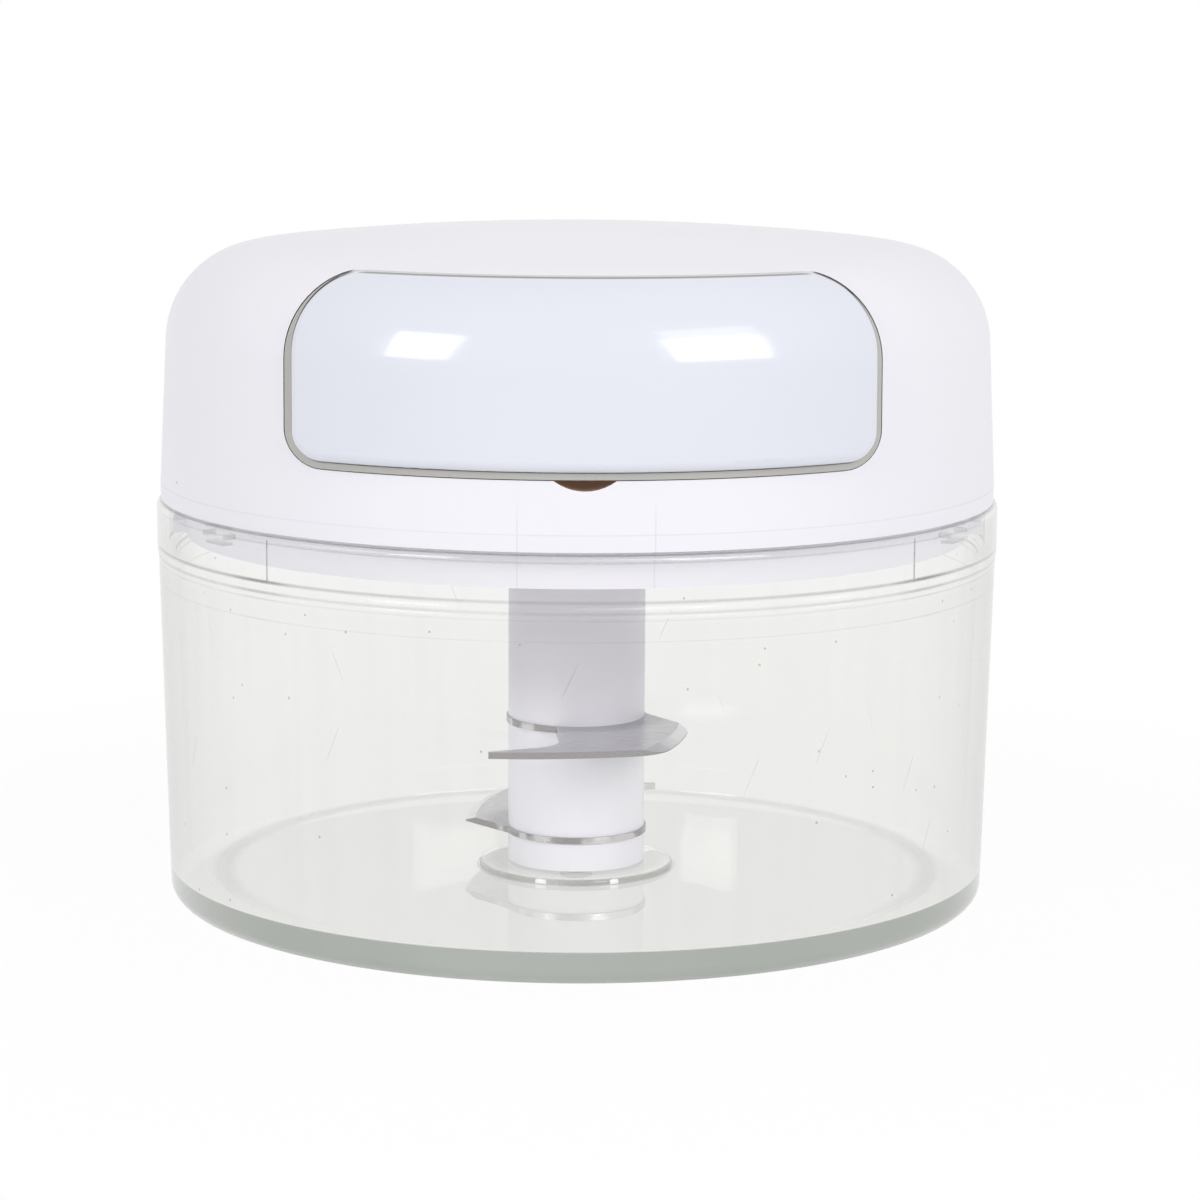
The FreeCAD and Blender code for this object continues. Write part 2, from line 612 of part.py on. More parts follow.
def lid_shell():
    """Domed cover: even wall, the handle's pocket and the screw bosses."""
    outside = shell_line(0, SHELL_Z)
    inside = shell_line(-SHELL_WALL, SHELL_Z)
    inside = inside.cut(pocket(HANDLE_FIT + SHELL_WALL, POCKET_R - SHELL_WALL))
    inside = inside.cut(notch(SHELL_WALL))
    shape = outside.cut(inside)
    for deg in LID_SCREW_DEGS:
        at = on_ring(LID_SCREW_RING, deg)
        shape = shape.fuse(cylinder(LID_BOSS_R, SHELL_Z, CROWN_Z, at).common(outside))
    for deg in CASE_SCREW_DEGS:
        at = on_ring(CASE_SCREW_RING, deg)
        shape = shape.fuse(cylinder(CASE_EAR_R, CASE_SEAT_Z, CROWN_Z, at).common(outside))
    pad = rod(EYELET_PAD_R, -POCKET_R, eyelet_seat_y(), 0, CORD_LEVEL)
    shape = shape.fuse(pad)
    shape = shape.cut(pocket(HANDLE_FIT, POCKET_R))
    shape = shape.cut(notch(0))
    for deg in LID_SCREW_DEGS:
        at = on_ring(LID_SCREW_RING, deg)
        shape = shape.cut(cylinder(SCREW_R, SHELL_Z, FLANGE_Z + LID_SCREW_LENGTH, at))
    for deg in CASE_SCREW_DEGS:
        at = on_ring(CASE_SCREW_RING, deg)
        shape = shape.cut(cylinder(SCREW_R, CASE_SEAT_Z, CASE_COVER_Z + CASE_SCREW_LENGTH, at))
    shape = shape.cut(rod(EYELET_R, -BEYOND, 0, 0, CORD_LEVEL))
    return shape.removeSplitter()


# ---------------------------------------------------------------- lid base
def lid_base():
    """Floor of the lid: flange on the bowl's mouth, skirt, locking tabs and bearing sleeve."""
    skirt_low = FLANGE_Z - SKIRT_DROP
    lip_r = SHELL_FOOT_R - SHELL_WALL - 2 * GAP
    shape = cylinder(SHELL_FOOT_R, FLANGE_Z, SHELL_Z)
    shape = shape.fuse(tube(SKIRT_R, SKIRT_R - SKIRT_WALL, skirt_low, FLANGE_Z))
    shape = shape.fuse(tube(lip_r, lip_r - LIP_WALL, SHELL_Z, SHELL_Z + LIP_HEIGHT))
    shape = shape.fuse(cylinder(SLEEVE_R, SLEEVE_LOW_Z, SLEEVE_TOP_Z))
    for side_deg in (0.0, 180.0):
        shape = shape.fuse(sector(SKIRT_R - SKIRT_WALL, TAB_R, skirt_low,
                                  skirt_low + TAB_HEIGHT, side_deg, TAB_WIDTH_DEG))
    shape = shape.cut(cylinder(STEM_R + RUNNING + DRIVE_BUSH_WALL, SLEEVE_LOW_Z, SLEEVE_TOP_Z))
    for deg in LID_SCREW_DEGS:
        at = on_ring(LID_SCREW_RING, deg)
        shape = shape.cut(cylinder(SCREW_HOLE_R, FLANGE_Z, SHELL_Z, at))
    return shape.removeSplitter()


def screw_up(seat_z, length, at):
    """Pan-head screw driven upwards: its head lies under the seat."""
    head = cylinder(SCREW_HEAD_R, seat_z - SCREW_HEAD_HEIGHT, seat_z, at)
    low_rim = [e for e in head.Edges
               if e.BoundBox.ZMax < seat_z - SCREW_HEAD_HEIGHT / 2 and e.BoundBox.XLength > SCREW_R]
    head = head.makeFillet(SCREW_HEAD_HEIGHT / 2, low_rim)
    slot = SCREW_R / 2
    drive = Part.makeBox(2 * SCREW_HEAD_R, slot, SCREW_HEAD_HEIGHT / 2,
                         V(at[0] - SCREW_HEAD_R, at[1] - slot / 2, seat_z - SCREW_HEAD_HEIGHT))
    shank = cylinder(SCREW_R, seat_z, seat_z + length, at)
    return head.cut(drive).fuse(shank).removeSplitter()


def lid_screws():
    """Four screws from the lid base up into the shell's bosses."""
    return group([screw_up(FLANGE_Z, LID_SCREW_LENGTH, on_ring(LID_SCREW_RING, deg))
                  for deg in LID_SCREW_DEGS])


def drive_bush():
    """Plain bearing pressed into the sleeve of the lid base."""
    return tube(STEM_R + RUNNING + DRIVE_BUSH_WALL, STEM_R + RUNNING,
                SLEEVE_LOW_Z, SLEEVE_TOP_Z)


def thrust_washer():
    """Washer on the sleeve, under the clutch carrier."""
    return tube(SLEEVE_R, STEM_R + GAP, SLEEVE_TOP_Z, SLEEVE_TOP_Z + WASHER_THICK)


# ---------------------------------------------------------------- drive and clutch
def clutch_carrier():
    """Disc that carries the two pawls, with the stem that runs in the drive bush."""
    clip_low = SLEEVE_LOW_Z - GAP - CLIP_THICK
    shape = cylinder(STEM_R, STEM_LOW_Z, CARRIER_Z).fuse(
        cylinder(CARRIER_R, CARRIER_Z, CARRIER_TOP_Z))
    shape = shape.cut(hexagon(HEX_FLAT, STEM_LOW_Z, CARRIER_TOP_Z))
    shape = shape.cut(tube(STEM_R, STEM_R - CLIP_GROOVE, clip_low, clip_low + CLIP_THICK))
    for deg in PAWL_DEGS:
        at = on_ring(PAWL_RING, deg)
        shape = shape.cut(cylinder(PAWL_PIN_R, CARRIER_Z, CARRIER_TOP_Z, at))
    return shape.removeSplitter()


def shaft_clip():
    """Retaining ring in the groove of the stem, below the drive bush."""
    low = SLEEVE_LOW_Z - GAP - CLIP_THICK
    inner = STEM_R - CLIP_GROOVE
    return tube(inner + CLIP_WALL, inner, low, low + CLIP_THICK)


def drive_shaft():
    """Steel hexagon that reaches down into the blade post."""
    return hexagon(HEX_FLAT, POST_TOP - HEX_CATCH, CARRIER_TOP_Z)


PAWL_DEGS = (0.0, 180.0)
TOOTH_DEG = 360.0 / RATCHET_TEETH
RATCHET_TIP_R = RATCHET_ROOT_R - RATCHET_DEPTH
PAWL_TIP_R = RATCHET_TIP_R + PAWL_BITE


def pawl_tip_deg(pin_deg):
    """Where a pawl's tip stands: just past the flank of the tooth that pushes it."""
    clear_deg = math.degrees(GAP / PAWL_TIP_R)
    return pin_deg - PAWL_BACK_TEETH * TOOTH_DEG + clear_deg


def pawl(pin_deg):
    """Pawl turning on its pin; its tip stands against a tooth of the reel."""
    px, py = on_ring(PAWL_RING, pin_deg)
    tip_x, tip_y = on_ring(PAWL_TIP_R, pawl_tip_deg(pin_deg))
    inner_x, inner_y = on_ring(PAWL_TIP_R - PAWL_TIP_WIDTH, pawl_tip_deg(pin_deg))
    arm = V(tip_x - px, tip_y - py, 0)
    side = V(-arm.y, arm.x, 0).normalize() * PAWL_EYE_R
    pin = V(px, py, 0)
    points = [pin + side, V(tip_x, tip_y, 0), V(inner_x, inner_y, 0), pin - side, pin + side]
    plate = Part.Face(Part.makePolygon(points)).extrude(V(0, 0, PAWL_THICK))
    plate.translate(V(0, 0, PAWL_Z))
    plate = plate.fuse(cylinder(PAWL_EYE_R, PAWL_Z, PAWL_Z + PAWL_THICK, (px, py)))
    hole = cylinder(PAWL_PIN_R + RUNNING, PAWL_Z, PAWL_Z + PAWL_THICK, (px, py))
    return plate.cut(hole).removeSplitter()


def pawl_pins():
    """Two pins pressed into the carrier."""
    top = PAWL_Z + PAWL_THICK + GAP
    return group([cylinder(PAWL_PIN_R, CARRIER_Z, top, on_ring(PAWL_RING, deg))
                  for deg in PAWL_DEGS])


def pawl_spring(pin_deg):
    """Leaf that holds a pawl out against the teeth; it stands on the carrier."""
    reach = PAWL_RING - PAWL_EYE_R - 2 * GAP
    leaf = Part.makeBox(PAWL_SPRING_THICK, PAWL_SPRING_LENGTH, PAWL_THICK,
                        V(reach - PAWL_SPRING_THICK, -PAWL_SPRING_LENGTH, CARRIER_TOP_Z))
    leaf.rotate(ORIGIN, UP, pin_deg)
    return leaf


# ---------------------------------------------------------------- reel
def ratchet_room():
    """Hollow under the reel, cut to a ring of one-way teeth."""
    lean = RATCHET_DEPTH * math.tan(math.radians(RATCHET_RAKE_DEG))
    lean_deg = math.degrees(lean / RATCHET_TIP_R)
    points = []
    for k in range(RATCHET_TEETH):
        points.append(arc_point((0, 0), RATCHET_ROOT_R, k * TOOTH_DEG))
        points.append(arc_point((0, 0), RATCHET_TIP_R, (k + 1) * TOOTH_DEG - lean_deg))
    points.append(points[0])
    room = Part.Face(Part.makePolygon(points)).extrude(V(0, 0, RATCHET_HEIGHT))
    room.translate(V(0, 0, REEL_Z))
    return room


def cord_reel():
    """Drum with its lower flange, the ratchet under it and the spring's hub on top."""
    bore_r = AXLE_R + RUNNING + REEL_BUSH_WALL
    shape = cylinder(REEL_FLANGE_R, REEL_Z, DRUM_Z)
    shape = shape.fuse(cylinder(DRUM_R, DRUM_Z, DRUM_TOP_Z))
    shape = shape.fuse(cylinder(REEL_HUB_R, DRUM_TOP_Z, HUB_TOP_Z))
    shape = shape.cut(ratchet_room())
    shape = shape.cut(cylinder(bore_r, RATCHET_TOP_Z, HUB_TOP_Z))
    return shape.removeSplitter()


def reel_flange():
    """Upper flange, welded on the drum once the cord's end is tied."""
    return tube(REEL_FLANGE_R, REEL_HUB_R, DRUM_TOP_Z, REEL_TOP_Z)


def reel_bush():
    """Plain bearing pressed into the reel; it runs on the axle."""
    return tube(AXLE_R + RUNNING + REEL_BUSH_WALL, AXLE_R + RUNNING, RATCHET_TOP_Z, HUB_TOP_Z)


def cord_winding():
    """The turns of cord on the drum, as one ring."""
    mid = (DRUM_Z + DRUM_TOP_Z) / 2
    half = CORD_TURNS * CORD_D / 2
    return tube(WINDING_R, DRUM_R, mid - half, mid + half)


# ---------------------------------------------------------------- return spring
def spring_case():
    """Round case hung from the shell; its roof holds the reel's axle."""
    shape = cylinder(CASE_R, CASE_Z, CASE_TOP_Z)
    for deg in CASE_SCREW_DEGS:
        at = on_ring(CASE_SCREW_RING, deg)
        ear = cylinder(CASE_EAR_R, CASE_Z, CASE_SEAT_Z, at)
        arm = Part.makeBox(CASE_SCREW_RING, 2 * CASE_EAR_R, CASE_EAR_THICK,
                           V(0, -CASE_EAR_R, CASE_Z))
        arm.rotate(ORIGIN, UP, deg)
        shape = shape.fuse(ear).fuse(arm)
    shape = shape.cut(cylinder(CASE_R - CASE_WALL, CASE_Z, CASE_ROOF_Z))
    shape = shape.fuse(cylinder(AXLE_BOSS_R, HUB_TOP_Z + GAP, CASE_ROOF_Z))
    shape = shape.cut(cylinder(AXLE_R, HUB_TOP_Z + GAP, CASE_TOP_Z))
    for deg in CASE_SCREW_DEGS:
        shape = shape.cut(cylinder(SCREW_HOLE_R, CASE_Z, CASE_SEAT_Z,
                                   on_ring(CASE_SCREW_RING, deg)))
    return shape.removeSplitter()


def spring_cover():
    """Plate under the spring, held by the same screws as its case."""
    shape = cylinder(CASE_R, CASE_COVER_Z, CASE_Z)
    for deg in CASE_SCREW_DEGS:
        at = on_ring(CASE_SCREW_RING, deg)
        ear = cylinder(CASE_EAR_R, CASE_COVER_Z, CASE_Z, at)
        arm = Part.makeBox(CASE_SCREW_RING, 2 * CASE_EAR_R, CASE_COVER_THICK,
                           V(0, -CASE_EAR_R, CASE_COVER_Z))
        arm.rotate(ORIGIN, UP, deg)
        shape = shape.fuse(ear).fuse(arm)
        shape = shape.cut(cylinder(SCREW_HOLE_R, CASE_COVER_Z, CASE_Z, at))
    shape = shape.cut(cylinder(REEL_HUB_R + 2 * GAP, CASE_COVER_Z, CASE_Z))
    return shape.removeSplitter()


def case_screws():
    """Three screws through the cover and the case into the shell."""
    return group([screw_up(CASE_COVER_Z, CASE_SCREW_LENGTH, on_ring(CASE_SCREW_RING, deg))
                  for deg in CASE_SCREW_DEGS])


def reel_axle():
    """Fixed steel axle, pressed into the roof of the spring case."""
    shape = cylinder(AXLE_R, axle_low_z(), CASE_TOP_Z)
    groove_z = RATCHET_TOP_Z - GAP - CLIP_THICK
    groove = tube(AXLE_R, AXLE_R - CLIP_GROOVE, groove_z, groove_z + CLIP_THICK)
    return shape.cut(groove)


def axle_low_z():
    """Lower end of the axle, just past its clip."""
    return RATCHET_TOP_Z - GAP - 2 * CLIP_THICK


def axle_clip():
    """Ring on the axle that keeps the reel up."""
    low = RATCHET_TOP_Z - GAP - CLIP_THICK
    inner = AXLE_R - CLIP_GROOVE
    return tube(inner + CLIP_WALL, inner, low, low + CLIP_THICK)


def return_spring():
    """Flat steel spiral from the reel's hub out to the case, drawn as half circles."""
    inner = REEL_HUB_R + GAP
    outer = CASE_R - CASE_WALL - GAP - SPRING_THICK
    step = (outer - inner) / (2 * SPRING_TURNS)
    inside = []
    outside = []
    start = inner
    centre_x = 0.0
    for k in range(2 * SPRING_TURNS):
        side = 1 if k % 2 == 0 else -1
        r = start + k * step
        for run, radius in ((inside, r), (outside, r + SPRING_THICK)):
            a = V(centre_x + side * radius, 0, 0)
            b = V(centre_x, side * radius, 0)
            c = V(centre_x - side * radius, 0, 0)
            run.append(Part.Arc(a, b, c))
        centre_x = centre_x + side * step
    first = line(inside[0].StartPoint, outside[0].StartPoint)
    last = line(inside[-1].EndPoint, outside[-1].EndPoint)
    low = CASE_Z + SPRING_EDGE_ROOM
    high = CASE_ROOF_Z - SPRING_EDGE_ROOM
    outline = [first] + outside + [last] + inside[::-1]
    wire = Part.Wire(Part.__sortEdges__([e.toShape() for e in outline]))
    strip = Part.Face(wire).extrude(V(0, 0, high - low))
    strip.translate(V(0, 0, low))
    return strip


# ---------------------------------------------------------------- handle
def handle_mid_z():
    """Height of the handle screws."""
    return (HANDLE_LOW + HANDLE_TOP) / 2


def screw_recess_y():
    """Floor of the recess that sinks a handle screw's head below the hollow side."""
    edge_x = HANDLE_SCREW_X - SCREW_HEAD_R - RECESS_ROOM
    hollow_y = -math.sqrt(HANDLE_BACK_R ** 2 - edge_x ** 2)
    return hollow_y - SCREW_HEAD_HEIGHT - RECESS_ROOM


def screw_rod(r, y0, y1, x):
    """Cylinder on the line of a handle screw."""
    return rod(r, y0, y1, x, handle_mid_z())


def handle_back():
    """Grey tray of the handle: an edge round the cover, open at the top, and a side hollow to the lid."""
    outline = handle_outline(0, 0, 0)
    bed = cover_outline(SEAM, HANDLE_FIT).cut(shell_line(-COVER_SINK, 0))
    lid_side = cylinder(HANDLE_BACK_R, 0, BEYOND)
    roof_z = shoulder_height(HANDLE_BACK_R + HANDLE_WALL) - COVER_SINK - HANDLE_WALL
    room = handle_outline(-HANDLE_WALL, -HANDLE_WALL, -HANDLE_WALL)
    room = room.cut(cylinder(HANDLE_BACK_R + HANDLE_WALL, 0, BEYOND))
    room = room.common(cylinder(BEYOND, 0, roof_z))
    shape = outline.common(shell_line(RIM_PROUD, 0)).cut(bed).cut(lid_side).cut(room)
    recess_y = screw_recess_y()
    recess_r = SCREW_HEAD_R + RECESS_ROOM
    for x in (-HANDLE_SCREW_X, HANDLE_SCREW_X):
        cup = screw_rod(recess_r + HANDLE_WALL, recess_y - HANDLE_WALL, 0, x)
        shape = shape.fuse(cup.cut(lid_side))
        shape = shape.cut(screw_rod(recess_r, recess_y, 0, x))
        shape = shape.cut(screw_rod(SCREW_HOLE_R, recess_y - HANDLE_WALL, recess_y, x))
    shape = shape.cut(rod(EYELET_BORE, -BEYOND, 0, 0, CORD_LEVEL))
    return shape.removeSplitter()


def handle_cover():
    """White glossy front of the handle, standing a little proud of the lid."""
    seat_y = screw_recess_y() - HANDLE_WALL
    tip_y = screw_recess_y() - HANDLE_SCREW_LENGTH
    plate = cover_outline(0, 0).common(shell_line(COVER_PROUD, 0)).cut(shell_line(-COVER_SINK, 0))
    plate = plate.cut(cylinder(HANDLE_BACK_R, 0, BEYOND))
    plate = round_cover(plate)
    for x in (-HANDLE_SCREW_X, HANDLE_SCREW_X):
        boss = screw_rod(HANDLE_BOSS_R, -COLLAR_R, seat_y, x).common(shell_line(0, 0))
        plate = plate.fuse(boss)
        plate = plate.cut(screw_rod(SCREW_R, tip_y, seat_y, x))
    return plate.removeSplitter()


def round_cover(plate):
    """Round the edges where the front of the cover meets its sides."""
    skin = shell_line(COVER_PROUD, 0).Shells[0]
    uses = {}
    for face in plate.Faces:
        u0, u1, v0, v1 = face.ParameterRange
        middle = Part.Vertex(face.valueAt((u0 + u1) / 2, (v0 + v1) / 2))
        in_front = middle.distToShape(skin)[0] < TOUCH
        for edge in face.Edges:
            uses.setdefault(edge.hashCode(), [edge]).append(in_front)
    rim = [edge for edge, *sides in uses.values() if True in sides and False in sides]
    return plate.makeFillet(COVER_ROUND, rim)


def handle_screws():
    """Two screws from the hollow side into the cover."""
    seat_y = screw_recess_y()
    screws = []
    for x in (-HANDLE_SCREW_X, HANDLE_SCREW_X):
        head = screw_rod(SCREW_HEAD_R, seat_y, seat_y + SCREW_HEAD_HEIGHT, x)
        shank = screw_rod(SCREW_R, seat_y - HANDLE_SCREW_LENGTH, seat_y, x)
        screws.append(head.fuse(shank).removeSplitter())
    return group(screws)


# ---------------------------------------------------------------- cord
def toggle_y():
    """Y of the toggle's seat on the floor of the tray."""
    return -(HANDLE_BACK_R + HANDLE_WALL)


def cord_toggle():
    """Small barrel that the cord is knotted in; it cannot pass the tray's hole."""
    y = toggle_y()
    shape = rod(TOGGLE_R, y - TOGGLE_LENGTH, y, 0, CORD_LEVEL)
    return shape.cut(rod(CORD_D / 2, y - TOGGLE_COVERED, y, 0, CORD_LEVEL))


def cord_eyelet():
    """Smooth ferrule that leads the cord through the wall of the pocket."""
    seat = eyelet_seat_y()
    shape = rod(EYELET_FLANGE_R, seat, seat + EYELET_FLANGE_THICK, 0, CORD_LEVEL)
    front = -math.sqrt(POCKET_R ** 2 - EYELET_R ** 2)
    shape = shape.fuse(rod(EYELET_R, front, seat, 0, CORD_LEVEL))
    return shape.cut(rod(EYELET_BORE, -BEYOND, 0, 0, CORD_LEVEL)).removeSplitter()


def cord_run():
    """Cord from the side of the winding through the eyelet to the toggle."""
    turn_y = eyelet_seat_y() + CORD_BEND_BEFORE
    pass_r = WINDING_R + GAP + CORD_D / 2
    leave_deg = FRONT_DEG - math.degrees(math.acos(pass_r / -turn_y))
    leave_x, leave_y = on_ring(pass_r, leave_deg)
    start = V(leave_x, leave_y, (DRUM_Z + DRUM_TOP_Z) / 2)
    corner = V(0, turn_y, CORD_LEVEL)
    end = V(0, toggle_y() - TOGGLE_COVERED, CORD_LEVEL)
    towards = (corner - start).normalize()
    onwards = (end - corner).normalize()
    half_turn = math.acos(towards.dot(onwards)) / 2
    cut_back = CORD_BEND_SHARE * (end - corner).Length
    radius = cut_back / math.tan(half_turn)
    arc_start = corner - towards * cut_back
    arc_end = corner + onwards * cut_back
    inwards = (onwards - towards).normalize()
    arc_mid = corner + inwards * (radius / math.cos(half_turn) - radius)
    path = Part.Wire([line(start, arc_start).toShape(),
                      Part.Arc(arc_start, arc_mid, arc_end).toShape(),
                      line(arc_end, end).toShape()])
    section = Part.Wire([Part.Circle(start, towards, CORD_D / 2).toShape()])
    shape = path.makePipeShell([section], True, False)
    expected = math.pi * (CORD_D / 2) ** 2 * path.Length
    print("cord_run: length %.1f, bend radius %.1f, volume %.2f of %.2f"
          % (path.Length, radius, shape.Volume, expected))
    return shape


# ---------------------------------------------------------------- build
os.makedirs("parts", exist_ok=True)
save("bowl", bowl())
save("pivot_pin", pivot_pin())
save("post_foot", post_foot())
save("pin_bush", pin_bush())
save("blade_lower", blade_lower())
save("post_spacer", post_spacer())
save("blade_upper", blade_upper())
save("post_head", post_head())
save("lid_base", lid_base())
save("lid_shell", lid_shell())
save("lid_screws", lid_screws())
save("drive_bush", drive_bush())
save("thrust_washer", thrust_washer())
save("clutch_carrier", clutch_carrier())
save("drive_shaft", drive_shaft())
save("shaft_clip", shaft_clip())
save("pawl_pins", pawl_pins())
for side, deg in zip("ab", PAWL_DEGS):
    save("pawl_" + side, pawl(deg))
    save("pawl_spring_" + side, pawl_spring(deg))
save("cord_reel", cord_reel())
save("reel_flange", reel_flange())
save("reel_bush", reel_bush())
save("cord_winding", cord_winding())
save("spring_case", spring_case())
save("spring_cover", spring_cover())
save("case_screws", case_screws())
save("reel_axle", reel_axle())
save("axle_clip", axle_clip())
save("return_spring", return_spring())
save("handle_back", handle_back())
save("handle_cover", handle_cover())
save("handle_screws", handle_screws())
save("cord_toggle", cord_toggle())
save("cord_eyelet", cord_eyelet())
save("cord_run", cord_run())
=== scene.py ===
"""Hand chopper worked by a pull cord: the finish of every piece, the room and the camera.

Every length is in metres. The part stands on the floor at z 0, and its handle faces -Y.
"""
import bmesh
import bpy
import math
from mathutils import Euler, Matrix, Vector


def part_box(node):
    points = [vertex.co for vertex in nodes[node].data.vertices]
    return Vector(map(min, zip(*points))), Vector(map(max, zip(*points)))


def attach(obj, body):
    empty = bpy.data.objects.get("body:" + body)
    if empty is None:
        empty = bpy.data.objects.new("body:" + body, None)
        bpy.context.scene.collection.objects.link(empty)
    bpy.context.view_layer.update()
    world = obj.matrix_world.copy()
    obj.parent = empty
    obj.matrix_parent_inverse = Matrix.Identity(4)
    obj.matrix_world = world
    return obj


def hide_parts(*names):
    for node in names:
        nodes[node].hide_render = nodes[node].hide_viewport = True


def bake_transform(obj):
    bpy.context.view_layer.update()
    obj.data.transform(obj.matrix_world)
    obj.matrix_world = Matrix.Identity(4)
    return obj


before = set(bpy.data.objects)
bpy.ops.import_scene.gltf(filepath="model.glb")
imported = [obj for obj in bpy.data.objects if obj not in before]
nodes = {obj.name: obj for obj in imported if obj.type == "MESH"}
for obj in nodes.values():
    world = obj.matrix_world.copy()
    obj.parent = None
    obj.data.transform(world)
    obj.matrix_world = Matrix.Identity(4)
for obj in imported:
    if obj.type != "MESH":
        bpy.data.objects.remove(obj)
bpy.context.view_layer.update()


# ---------------------------------------------------------------- camera
# A long lens on a stand, a little above the level of the lid. It is aimed down at the middle of
# the bowl, and leans by a third of a degree.
MM = 0.001
CAMERA_AT = (-9.66 * MM, -583.78 * MM, 140.57 * MM)
CAMERA_TILT = math.radians(80.723)
CAMERA_ROLL = math.radians(0.317)
CAMERA_TURN = math.radians(-1.3)
# Lens and film are the two numbers that Blender takes in millimetres.
CAMERA_LENS = 113.57
FILM_WIDTH = 36.0
SEEN_FROM = 0.01
SEEN_TO = 50.0

scene = bpy.context.scene
lens = bpy.data.cameras.new("camera")
lens.lens = CAMERA_LENS
lens.sensor_width = FILM_WIDTH
lens.clip_start = SEEN_FROM
lens.clip_end = SEEN_TO
camera = bpy.data.objects.new("camera", lens)
scene.collection.objects.link(camera)
camera.location = CAMERA_AT
aim = Euler((CAMERA_TILT, 0, CAMERA_TURN)).to_matrix() @ Euler((0, 0, CAMERA_ROLL)).to_matrix()
camera.rotation_euler = aim.to_euler()
scene.camera = camera
scene.view_settings.view_transform = "Standard"


# ---------------------------------------------------------------- room and table
# A white table top in a white room. What the camera, a gloss or clear plastic sees of them is
# plain white. The light that the room sends on the pieces is softer, and stronger from above.
ROOM_WHITE = (1.0, 1.0, 1.0, 1.0)
ROOM_LIGHT_LEVEL = 0.56
ROOM_LIGHT_ABOVE = 0.26
TABLE_WHITE = (0.92, 0.92, 0.92, 1.0)
TABLE_ROUGHNESS = 0.8
TABLE_HALF = 6.0
TABLE_DROP = 0.05 * MM
# Under the part the table shows this share of plain white. The rest of it fades in between two
# distances from the middle.
TABLE_GLOW = 0.92
TABLE_EDGE = (0.08, 0.22)


class Wire:
    """One output of a shader node. A sum, product or comparison with it adds its Math node."""

    def __init__(self, finish, socket):
        self.finish = finish
        self.socket = socket

    def also(self, output):
        """Another output of the same node."""
        return Wire(self.finish, self.socket.node.outputs[output])

    def math(self, operation, *values):
        return self.finish.node("Math", {"operation": operation}, dict(enumerate(values)))

    def __add__(self, other):
        return self.math("ADD", self, other)

    def __radd__(self, other):
        return self.math("ADD", other, self)

    def __sub__(self, other):
        return self.math("SUBTRACT", self, other)

    def __rsub__(self, other):
        return self.math("SUBTRACT", other, self)

    def __mul__(self, other):
        return self.math("MULTIPLY", self, other)

    def __rmul__(self, other):
        return self.math("MULTIPLY", other, self)

    def __truediv__(self, other):
        return self.math("DIVIDE", self, other)

    def __rtruediv__(self, other):
        return self.math("DIVIDE", other, self)

    def __gt__(self, other):
        return self.math("GREATER_THAN", self, other)

    def __lt__(self, other):
        return self.math("LESS_THAN", self, other)

    def __abs__(self):
        return self.math("ABSOLUTE", self)

    def least(self, other):
        return self.math("MINIMUM", self, other)

    def most(self, other):
        return self.math("MAXIMUM", self, other)

    def root(self):
        return self.math("SQRT", self)

    def sine(self):
        return self.math("SINE", self)

    def atan2(self, other):
        """The angle of a point that lies this far up and other far along."""
        return self.math("ARCTAN2", self, other)

    def power(self, times):
        """This times itself, for a whole number of times."""
        product = self
        for _ in range(times - 1):
            product = product * self
        return product

    def between(self, low, high):
        """low where this is 0, and high where it is 1."""
        return self * (high - low) + low

    def ramp(self, start, end):
        """0 before start, 1 past end, and a smooth rise between; it falls where end is less."""
        settings = {"interpolation_type": "SMOOTHSTEP"}
        sockets = {"Value": self, "From Min": start, "From Max": end, "To Min": 0.0, "To Max": 1.0}
        return self.finish.node("MapRange", settings, sockets)

    def near(self, value, width):
        """1 at a value, and 0 from width away from it."""
        return abs(self - value).ramp(width, 0.0)


